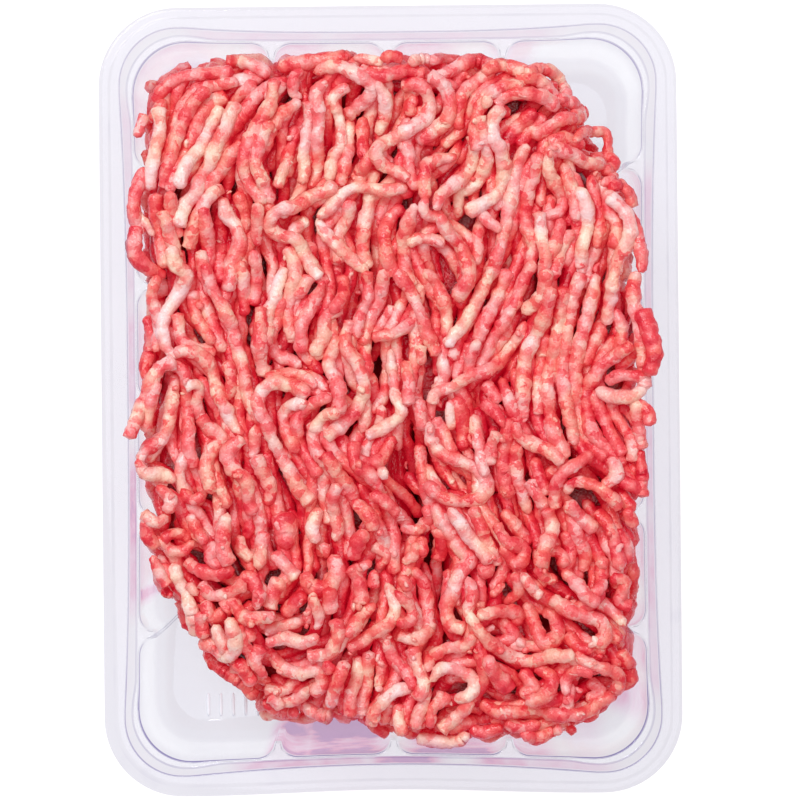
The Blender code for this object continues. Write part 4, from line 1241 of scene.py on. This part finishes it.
def build_tray():
    """The whole tray as one sheet of even thickness."""
    rings, bends = tray_rings()
    count = rings.shape[1]
    middle = np.array(((0.0, 0.0, SHEET),))
    points = np.vstack((rings.reshape(-1, 3), middle))
    inmost = np.arange(count) + (len(rings) - 1) * count
    fan = np.column_stack((np.full(count, len(points) - 1), inmost, np.roll(inmost, -1)))
    tint = np.append(bends.ravel(), FLOOR_TINT)
    shell = make_mesh("tray_shell", points, skin(rings), fan, (("bend", tint),))
    sheet = shell.modifiers.new("sheet thickness", "SOLIDIFY")
    sheet.thickness = SHEET * MM
    sheet.offset = -1.0
    return shell


RIB_PITCH = 3.1
RIB_COUNT = 6
FIRST_RIB = (-46.3, -75.6)  # middle of the leftmost one
RIB_HALF_LENGTH = 2.9
RIB_HALF_WIDTH = 0.4
RIB_HEIGHT = 0.16
RIB_SIDES = 12
RIB_TINT = 0.1
# Share of white painted on the ribs as their highlight
RIB_PAINTED_HIGHLIGHT = 0.9


def build_ribs():
    """Short stiffening ribs pressed up out of the floor in the near left corner."""
    turn = np.linspace(0.0, 2.0 * math.pi, RIB_SIDES, endpoint=False)
    share = np.linspace(-1.0, 1.0, 15)
    size = np.sqrt(np.maximum(1.0 - np.abs(share) ** 6, 0.02))[:, None]
    rings = np.empty((len(share), RIB_SIDES, 3))
    rings[..., 0] = RIB_HALF_WIDTH * size * np.cos(turn)
    rings[..., 1] = RIB_HALF_LENGTH * share[:, None]
    rings[..., 2] = RIB_HEIGHT * size * np.sin(turn)
    rib = np.vstack((rings.reshape(-1, 3), rings[[0, -1]].mean(axis=1)))
    points, quads, triangles = [], [], []
    for index in range(RIB_COUNT):
        first = index * len(rib)
        points.append(rib + (FIRST_RIB[0] + RIB_PITCH * index, FIRST_RIB[1], SHEET))
        quads.append(skin(rings, first)[:, ::-1])
        triangles += [fan[:, ::-1] for fan in end_fans(first, len(rings), RIB_SIDES)]
    points = np.vstack(points)
    same = np.ones(len(points))
    # White painted over the ribs stands in for their highlight
    attributes = (("bend", RIB_TINT * same), ("painted_highlight", RIB_PAINTED_HIGHLIGHT * same))
    return make_mesh("floor_ribs", points, np.vstack(quads), np.vstack(triangles), attributes)


# Pools of thin juice in the cavity, the strongest of them in the near lobes darkened with painted
# shade: x, y, reach, strength
JUICE_AND_SHADE = (
    (-53.0, 83.0, 15.0, 0.36),
    (-62.0, 68.0, 10.0, 0.42),
    (-24.0, 86.0, 12.0, 0.55),
    (6.0, 87.0, 14.0, 0.55),
    (30.0, 86.0, 8.0, 0.4),
    (-63.0, 40.0, 14.0, 0.5),
    (-63.0, 10.0, 16.0, 0.55),
    (-63.0, -16.0, 12.0, 0.45),
    (-61.0, -38.0, 9.0, 0.4),
    (-59.5, -46.0, 2.6, 1.0),
    (-25.0, -84.0, 7.0, 1.1),
    (-12.0, -84.0, 14.0, 1.35),
    (14.0, -85.0, 15.0, 1.35),
    (32.0, -84.0, 9.0, 0.7),
    (46.0, -80.0, 8.0, 0.3),
    (63.0, 48.0, 12.0, 0.45),
    (63.0, 20.0, 16.0, 0.55),
    (63.0, -8.0, 14.0, 0.6),
    (62.0, -34.0, 14.0, 0.6),
    (61.0, -58.0, 12.0, 0.6),
    (57.0, -72.0, 8.0, 0.6),
)
# The same for the streaks on the step between the ledge and the flange
STEP_JUICE = (
    (-30.0, 88.0, 22.0, 0.27),
    (5.0, 88.0, 26.0, 0.3),
    (30.0, 87.0, 14.0, 0.2),
    (-62.0, 60.0, 16.0, 0.3),
    (-62.0, 36.0, 18.0, 0.4),
    (-62.0, 10.0, 20.0, 0.5),
    (-62.0, -24.0, 16.0, 0.8),
    (-62.0, -38.0, 16.0, 0.6),
    (-27.0, -88.0, 14.0, 0.6),
    (-14.0, -88.0, 12.0, 0.6),
    (3.0, -88.0, 12.0, 1.0),
    (26.0, -88.0, 10.0, 0.7),
    (40.0, -88.0, 16.0, 0.45),
    (62.0, 44.0, 14.0, 0.45),
    (62.0, 20.0, 20.0, 0.45),
    (62.0, -15.0, 20.0, 0.5),
    (62.0, -42.0, 22.0, 0.5),
    (62.0, -62.0, 12.0, 0.35),
)
JUICE_LIFT = 0.12


def pooled(points, pools):
    """How wet each point is, where pools fade out at their edges."""
    wet = np.zeros(len(points))
    for x, y, reach, strength in pools:
        gap = np.hypot(points[:, 0] - x, points[:, 1] - y)
        wet = np.maximum(wet, strength * smoothstep(1.6 * (1.0 - gap / reach)))
    return wet


def build_juice_and_shade():
    """A film of pink juice over parts of the floor, the walls and the step, with painted shade in
    the near lobes.
    """
    rings, _ = tray_rings()
    rings = rings[STEP_RING:]
    points = rings.reshape(-1, 3)
    high = points[:, 2].copy()
    on_step = smoothstep((high - LEDGE - 0.1) / 0.3) * smoothstep((RIM - 0.1 - high) / 0.3)
    on_wall = smoothstep((high - 6.0) / 3.0) * smoothstep((LEDGE - 0.5 - high) / 1.5)
    in_cavity = 0.1 + 0.9 * smoothstep((LEDGE - 0.2 - high) / 0.6)
    wet = pooled(points, JUICE_AND_SHADE) * in_cavity * (1.0 - 0.4 * on_wall) * (1.0 - on_step)
    wet = wet + pooled(points, STEP_JUICE) * on_step
    points[:, :2] *= 1.0 - JUICE_LIFT / HALF_X
    points[:, 2] += JUICE_LIFT
    quads = skin(rings)
    quads = quads[(wet[quads] > 0.02).any(axis=1)]
    used, quads = np.unique(quads, return_inverse=True)
    quads = quads.reshape(-1, 4)
    none = np.empty((0, 3), int)
    return make_mesh("juice_and_painted_shade", points[used], quads, none, (("wet", wet[used]),))


# ---------------------------------------------------------------------------- materials
class Nodes:
    """Short hand for building one material's node tree."""

    def __init__(self, name):
        self.material = bpy.data.materials.new(name)
        self.material.use_nodes = True
        self.tree = self.material.node_tree
        self.tree.nodes.clear()
        self.output = self.add("ShaderNodeOutputMaterial")

    def add(self, kind, **settings):
        """A new node with some of its settings set."""
        node = self.tree.nodes.new(kind)
        for key, value in settings.items():
            setattr(node, key, value)
        return node

    def link(self, start, end):
        """Ties an output socket to an input socket."""
        self.tree.links.new(start, end)

    def fill(self, node, **values):
        """Sets a node's sockets, named with underscores for spaces."""
        for key, value in values.items():
            node.inputs[key.replace("_", " ")].default_value = value
        return node

    def noise(self, scale, detail):
        """Noise over the object's own coordinates; scale is the size of a lump in mm."""
        where = self.add("ShaderNodeTexCoord").outputs["Object"]
        node = self.add("ShaderNodeTexNoise")
        self.fill(node, Scale=1.0 / (scale * MM), Detail=detail, Roughness=0.55)
        self.link(where, node.inputs["Vector"])
        return node.outputs["Fac"]

    def math(self, operation, first, second):
        """The result of an operation on two sockets or numbers."""
        node = self.add("ShaderNodeMath", operation=operation)
        for socket, value in zip(node.inputs, (first, second)):
            if isinstance(value, (int, float)):
                socket.default_value = value
            else:
                self.link(value, socket)
        return node.outputs[0]

    def ramp(self, value, stops):
        """A colour looked up from stops: place, then colour."""
        node = self.add("ShaderNodeValToRGB")
        elements = node.color_ramp.elements
        while len(elements) < len(stops):
            elements.new(0.5)
        for element, (place, colour) in zip(elements, stops):
            element.position = place
            element.color = (*colour, 1.0)
        self.link(value, node.inputs["Fac"])
        return node.outputs["Color"]


# From lean meat darkened by painted shade deep in the heap, through lean meat on top, to fat
MEAT_COLOURS = (
    (0.0, (0.26, 0.003, 0.008)),
    (0.12, (0.345, 0.008, 0.02)),
    (0.31, (0.45, 0.033, 0.042)),
    (0.49, (0.525, 0.105, 0.098)),
    (0.65, (0.545, 0.24, 0.213)),
    (0.82, (0.565, 0.41, 0.35)),
    (1.0, (0.6, 0.55, 0.49)),
)


PAINTED_MEAT_GLOW = 0.24  # painted glow in place of light scattered within the meat, taken away in crevices as painted shade


def meat_material(name):
    """Raw meat, lean to fat in uneven grains, wet in patches, with a painted red glow, and painted
    shade that makes it redder and darker in hollows.
    """
    nodes = Nodes(name)
    fat = nodes.add("ShaderNodeAttribute", attribute_name="fat").outputs["Fac"]
    deep = nodes.add("ShaderNodeAttribute", attribute_name="deep").outputs["Fac"]
    where = nodes.add("ShaderNodeTexCoord").outputs["Object"]
    grains = nodes.fill(nodes.add("ShaderNodeTexVoronoi"), Scale=1.0 / (1.9 * MM))
    # The grains' borders wander, so that they aren't straight
    nudge = nodes.fill(nodes.add("ShaderNodeTexNoise"), Scale=1.0 / (1.3 * MM), Detail=1.0)
    nodes.link(where, nudge.inputs["Vector"])
    shift = nodes.add("ShaderNodeVectorMath", operation="MULTIPLY_ADD")
    nodes.link(nudge.outputs["Color"], shift.inputs[0])
    shift.inputs[1].default_value = (2.2 * MM, 2.2 * MM, 2.2 * MM)
    nodes.link(where, shift.inputs[2])
    nodes.link(shift.outputs["Vector"], grains.inputs["Vector"])
    tone = nodes.add("ShaderNodeSeparateColor")
    nodes.link(grains.outputs["Color"], tone.inputs["Color"])
    # Place on the colour ramp
    level = nodes.math("ADD", fat, nodes.math("MULTIPLY", tone.outputs["Red"], 0.34))
    level = nodes.math("ADD", level, nodes.math("MULTIPLY", nodes.noise(0.5, 2.0), 0.3))
    # Painted shade: lower on the ramp, so darker and redder, in hollows
    level = nodes.math("SUBTRACT", level, nodes.math("MULTIPLY", deep, 0.3))
    level = nodes.math("SUBTRACT", nodes.math("MULTIPLY", level, 0.88), 0.182)
    shader = nodes.add("ShaderNodeBsdfPrincipled")
    # Some of the meat is a little warmer than the rest
    hue = nodes.ramp(nodes.noise(8.0, 1.0), ((0.38, (1.0, 0.95, 1.06)), (0.62, (1.0, 1.0, 0.88))))
    colour = nodes.add("ShaderNodeMix", data_type="RGBA", blend_type="MULTIPLY")
    colour.inputs[0].default_value = 1.0
    nodes.link(nodes.ramp(level, MEAT_COLOURS), colour.inputs[6])
    nodes.link(hue, colour.inputs[7])
    nodes.link(colour.outputs[2], shader.inputs["Base Color"])
    nodes.fill(
        shader,
        IOR=1.4,
        Specular_IOR_Level=0.65,
        Emission_Color=(0.9, 0.0, 0.02, 1.0),
    )
    # A painted red glow, with less of it in the crevices as painted shade
    shade = nodes.math("MULTIPLY", nodes.math("POWER", deep, 4.0), 0.05)
    painted_glow = nodes.math("SUBTRACT", PAINTED_MEAT_GLOW, nodes.math("MINIMUM", shade, PAINTED_MEAT_GLOW))
    nodes.link(painted_glow, shader.inputs["Emission Strength"])
    wet = nodes.math("MULTIPLY", nodes.noise(1.6, 2.0), 0.36)
    nodes.link(nodes.math("ADD", wet, 0.04), shader.inputs["Roughness"])
    bump = nodes.fill(nodes.add("ShaderNodeBump"), Strength=0.8, Distance=0.35 * MM)
    nodes.link(nodes.noise(0.7, 2.0), bump.inputs["Height"])
    nodes.link(bump.outputs["Normal"], shader.inputs["Normal"])
    nodes.link(shader.outputs["BSDF"], nodes.output.inputs["Surface"])
    nodes.material.cycles.emission_sampling = "NONE"
    return nodes.material


def plastic_material():
    """Clear glossy sheet with a lilac tint, with darker lilac lines painted at its bends in place
    of their reflection and refraction, and painted white highlights on the ribs.
    """
    nodes = Nodes("clear_plastic")
    bend = nodes.add("ShaderNodeAttribute", attribute_name="bend").outputs["Fac"]
    uneven = nodes.math("MULTIPLY", nodes.noise(9.0, 2.0), 0.12)
    # From the sheet's own tint to the dark lilac of the lines painted at its bends
    tint = nodes.ramp(
        nodes.math("ADD", bend, uneven),
        (
            (0.0, (0.925, 0.928, 0.945)),
            (0.2, (0.86, 0.857, 0.885)),
            (0.38, (0.85, 0.844, 0.877)),
            (1.0, (0.20, 0.16, 0.42)),
        ),
    )
    clear = nodes.add("ShaderNodeBsdfTransparent")
    nodes.link(tint, clear.inputs["Color"])
    gloss = nodes.fill(nodes.add("ShaderNodeBsdfGlossy"), Roughness=0.06)
    gloss.inputs["Color"].default_value = (0.95, 0.94, 1.0, 1.0)
    facing = nodes.add("ShaderNodeLayerWeight").outputs["Facing"]
    grazing = nodes.math("MULTIPLY", nodes.math("POWER", facing, 5.0), 0.12)
    # White painted on the ribs in place of their highlight
    painted_highlight = nodes.add("ShaderNodeAttribute", attribute_name="painted_highlight").outputs["Fac"]
    white = nodes.fill(nodes.add("ShaderNodeBsdfDiffuse"), Color=(0.9, 0.96, 1.0, 1.0))
    body = nodes.add("ShaderNodeMixShader")
    nodes.link(painted_highlight, body.inputs["Fac"])
    nodes.link(clear.outputs["BSDF"], body.inputs[1])
    nodes.link(white.outputs["BSDF"], body.inputs[2])
    mix = nodes.add("ShaderNodeMixShader")
    nodes.link(nodes.math("ADD", grazing, 0.012), mix.inputs["Fac"])
    nodes.link(body.outputs["Shader"], mix.inputs[1])
    nodes.link(gloss.outputs["BSDF"], mix.inputs[2])
    nodes.link(mix.outputs["Shader"], nodes.output.inputs["Surface"])
    return nodes.material


def juice_and_shade_material():
    """Thin pink liquid: a tint that is uneven and fades out at its edges, with painted shade at its
    darkest, greyer end.
    """
    nodes = Nodes("juice_and_painted_shade")
    wet = nodes.add("ShaderNodeAttribute", attribute_name="wet").outputs["Fac"]
    blotches = nodes.math("ADD", nodes.math("MULTIPLY", nodes.noise(5.0, 2.0), 1.2), 0.4)
    # The last stop is painted shade of the near lobes
    tint = nodes.ramp(
        nodes.math("MULTIPLY", wet, blotches),
        (
            (0.0, (1.0, 1.0, 1.0)),
            (0.45, (0.97, 0.83, 0.91)),
            (0.8, (0.93, 0.62, 0.76)),
            (1.0, (0.74, 0.53, 0.72)),
        ),
    )
    clear = nodes.add("ShaderNodeBsdfTransparent")
    nodes.link(tint, clear.inputs["Color"])
    nodes.link(clear.outputs["BSDF"], nodes.output.inputs["Surface"])
    return nodes.material


# --------------------------------------------------------------------------- the object
LEVEL_BLUR = 2.2


def place(piece, material, slot, replaced=None):
    """Dresses a piece and ties it to the frame, in place of a CAD node if one is named."""
    piece.data.materials.append(material)
    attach(piece, ROOT)
    if replaced:
        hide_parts(replaced)


def blurred(values, reach):
    """The values averaged over a soft round patch, reach in mm."""
    frequency_x = np.fft.fftfreq(values.shape[0], CELL)[:, None]
    frequency_y = np.fft.rfftfreq(values.shape[1], CELL)[None, :]
    soft = np.exp(-2.0 * (math.pi * reach) ** 2 * (frequency_x**2 + frequency_y**2))
    return np.fft.irfft2(np.fft.rfft2(values) * soft, values.shape)


side_strands = lay_side()
fill_strands = lay_filling()
top_strands = [strand for zone in TOP_LAYER for strand in lay_top(zone)]
crumb_strands = lay_crumbs()

# The bare step must not make the strands beside it count as deep for the painted shade
level = np.where(heap.height == ground, np.minimum(ground, LEDGE), heap.height)
heap_level = HeightMap((-MAP_X, -MAP_Y), blurred(level, LEVEL_BLUR))
meat = meat_material("raw_meat")
place(build_core(), meat, "raw_meat", "mince")
half = len(fill_strands) // 2
sizes = np.cumsum([len(points) for points, _, _, _ in top_strands])
far = int(np.searchsorted(sizes, sizes[-1] / 2))
place(strand_piece("mince_side", side_strands, 8, shaded=False), meat, "raw_meat")
strand_pieces = (
    ("mince_filling_low", fill_strands[:half], 8),
    ("mince_filling_high", fill_strands[half:], 8),
    ("mince_top_far", top_strands[:far], 13),
    ("mince_top_near", top_strands[far:], 13),
    ("mince_crumbs", crumb_strands, 10),
)
for name, strands, sides in strand_pieces:
    place(strand_piece(name, strands, sides), meat, "raw_meat")
plastic = plastic_material()
place(build_tray(), plastic, "clear_plastic", "tray")
place(build_ribs(), plastic, "clear_plastic")
place(build_juice_and_shade(), juice_and_shade_material(), "raw_meat")


# ---------------------------------------------------------------------- stage and camera
STAGE_REACH = 3.0
STAGE_DROP = -0.2 * MM  # just below the tray, so that the two don't coincide
UNIT_SQUARE = ((-1, -1), (1, -1), (1, 1), (-1, 1))
AIM = Vector((0.0, 0.0, 0.02))  # what the lamps shine at, in metres


def build_stage():
    """The pale studio floor."""
    mesh = bpy.data.meshes.new("studio_floor")
    corners = [(x * STAGE_REACH, y * STAGE_REACH, STAGE_DROP) for x, y in UNIT_SQUARE]
    mesh.from_pydata(corners, [], [(0, 1, 2, 3)])
    floor = bpy.data.objects.new("studio_floor", mesh)
    bpy.context.scene.collection.objects.link(floor)
    nodes = Nodes("studio_floor")
    shader = nodes.fill(
        nodes.add("ShaderNodeBsdfPrincipled"),
        Base_Color=(0.19, 0.19, 0.19, 1.0),
        Roughness=0.6,
        Emission_Color=(1.0, 1.0, 1.0, 1.0),
        Emission_Strength=0.88,
    )
    nodes.link(shader.outputs["BSDF"], nodes.output.inputs["Surface"])
    nodes.material.cycles.emission_sampling = "NONE"
    mesh.materials.append(nodes.material)


def add_softbox(name, position, size, power):
    """A square lamp that shines on the object."""
    light = bpy.data.lights.new(name, "AREA")
    light.shape = "SQUARE"
    light.size = size
    light.energy = power
    lamp = bpy.data.objects.new(name, light)
    lamp.location = position
    lamp.rotation_euler = (AIM - Vector(position)).to_track_quat("-Z", "Y").to_euler()
    bpy.context.scene.collection.objects.link(lamp)


def build_lights():
    """Soft light all round, a key softbox from the far left and one overhead."""
    world = bpy.data.worlds.new("studio")
    world.use_nodes = True
    tree = world.node_tree
    light = tree.nodes["Background"]
    light.inputs["Color"].default_value = (0.97, 0.98, 1.0, 1.0)
    light.inputs["Strength"].default_value = 0.55
    # A wall as white as the floor is what shows behind the object
    wall = tree.nodes.new("ShaderNodeBackground")
    wall.inputs["Strength"].default_value = 1.1
    seen = tree.nodes.new("ShaderNodeLightPath").outputs["Is Camera Ray"]
    mix = tree.nodes.new("ShaderNodeMixShader")
    tree.links.new(seen, mix.inputs["Fac"])
    tree.links.new(light.outputs["Background"], mix.inputs[1])
    tree.links.new(wall.outputs["Background"], mix.inputs[2])
    tree.links.new(mix.outputs["Shader"], tree.nodes["World Output"].inputs["Surface"])
    bpy.context.scene.world = world
    # A low view along the tray's wall looks through many bends
    bpy.context.scene.cycles.transparent_max_bounces = 32
    add_softbox("key", (-0.4, 0.57, 1.0), 0.5, 9.7)
    add_softbox("overhead", (0.15, 0.1, 1.2), 0.9, 7.0)


CAMERA_HEIGHT = 0.75  # above the flange, in metres
CAMERA_SHIFT_X = 2.25 * MM
MM_PER_PIXEL = 0.2366
FRAME_PIXELS = 800
CAMERA_ROLL = math.radians(0.55)


def build_camera():
    """A camera straight above, turned a little like the tray in the photo."""
    data = bpy.data.cameras.new("camera")
    data.sensor_width = 36.0
    data.lens = data.sensor_width * CAMERA_HEIGHT / (MM_PER_PIXEL * FRAME_PIXELS * MM)
    camera = bpy.data.objects.new("camera", data)
    camera.location = (CAMERA_SHIFT_X, 0.0, RIM * MM + CAMERA_HEIGHT)
    camera.rotation_euler = (0.0, 0.0, -CAMERA_ROLL)
    bpy.context.scene.collection.objects.link(camera)
    bpy.context.scene.camera = camera


build_stage()
build_lights()
build_camera()
bpy.context.scene.view_settings.view_transform = "Standard"
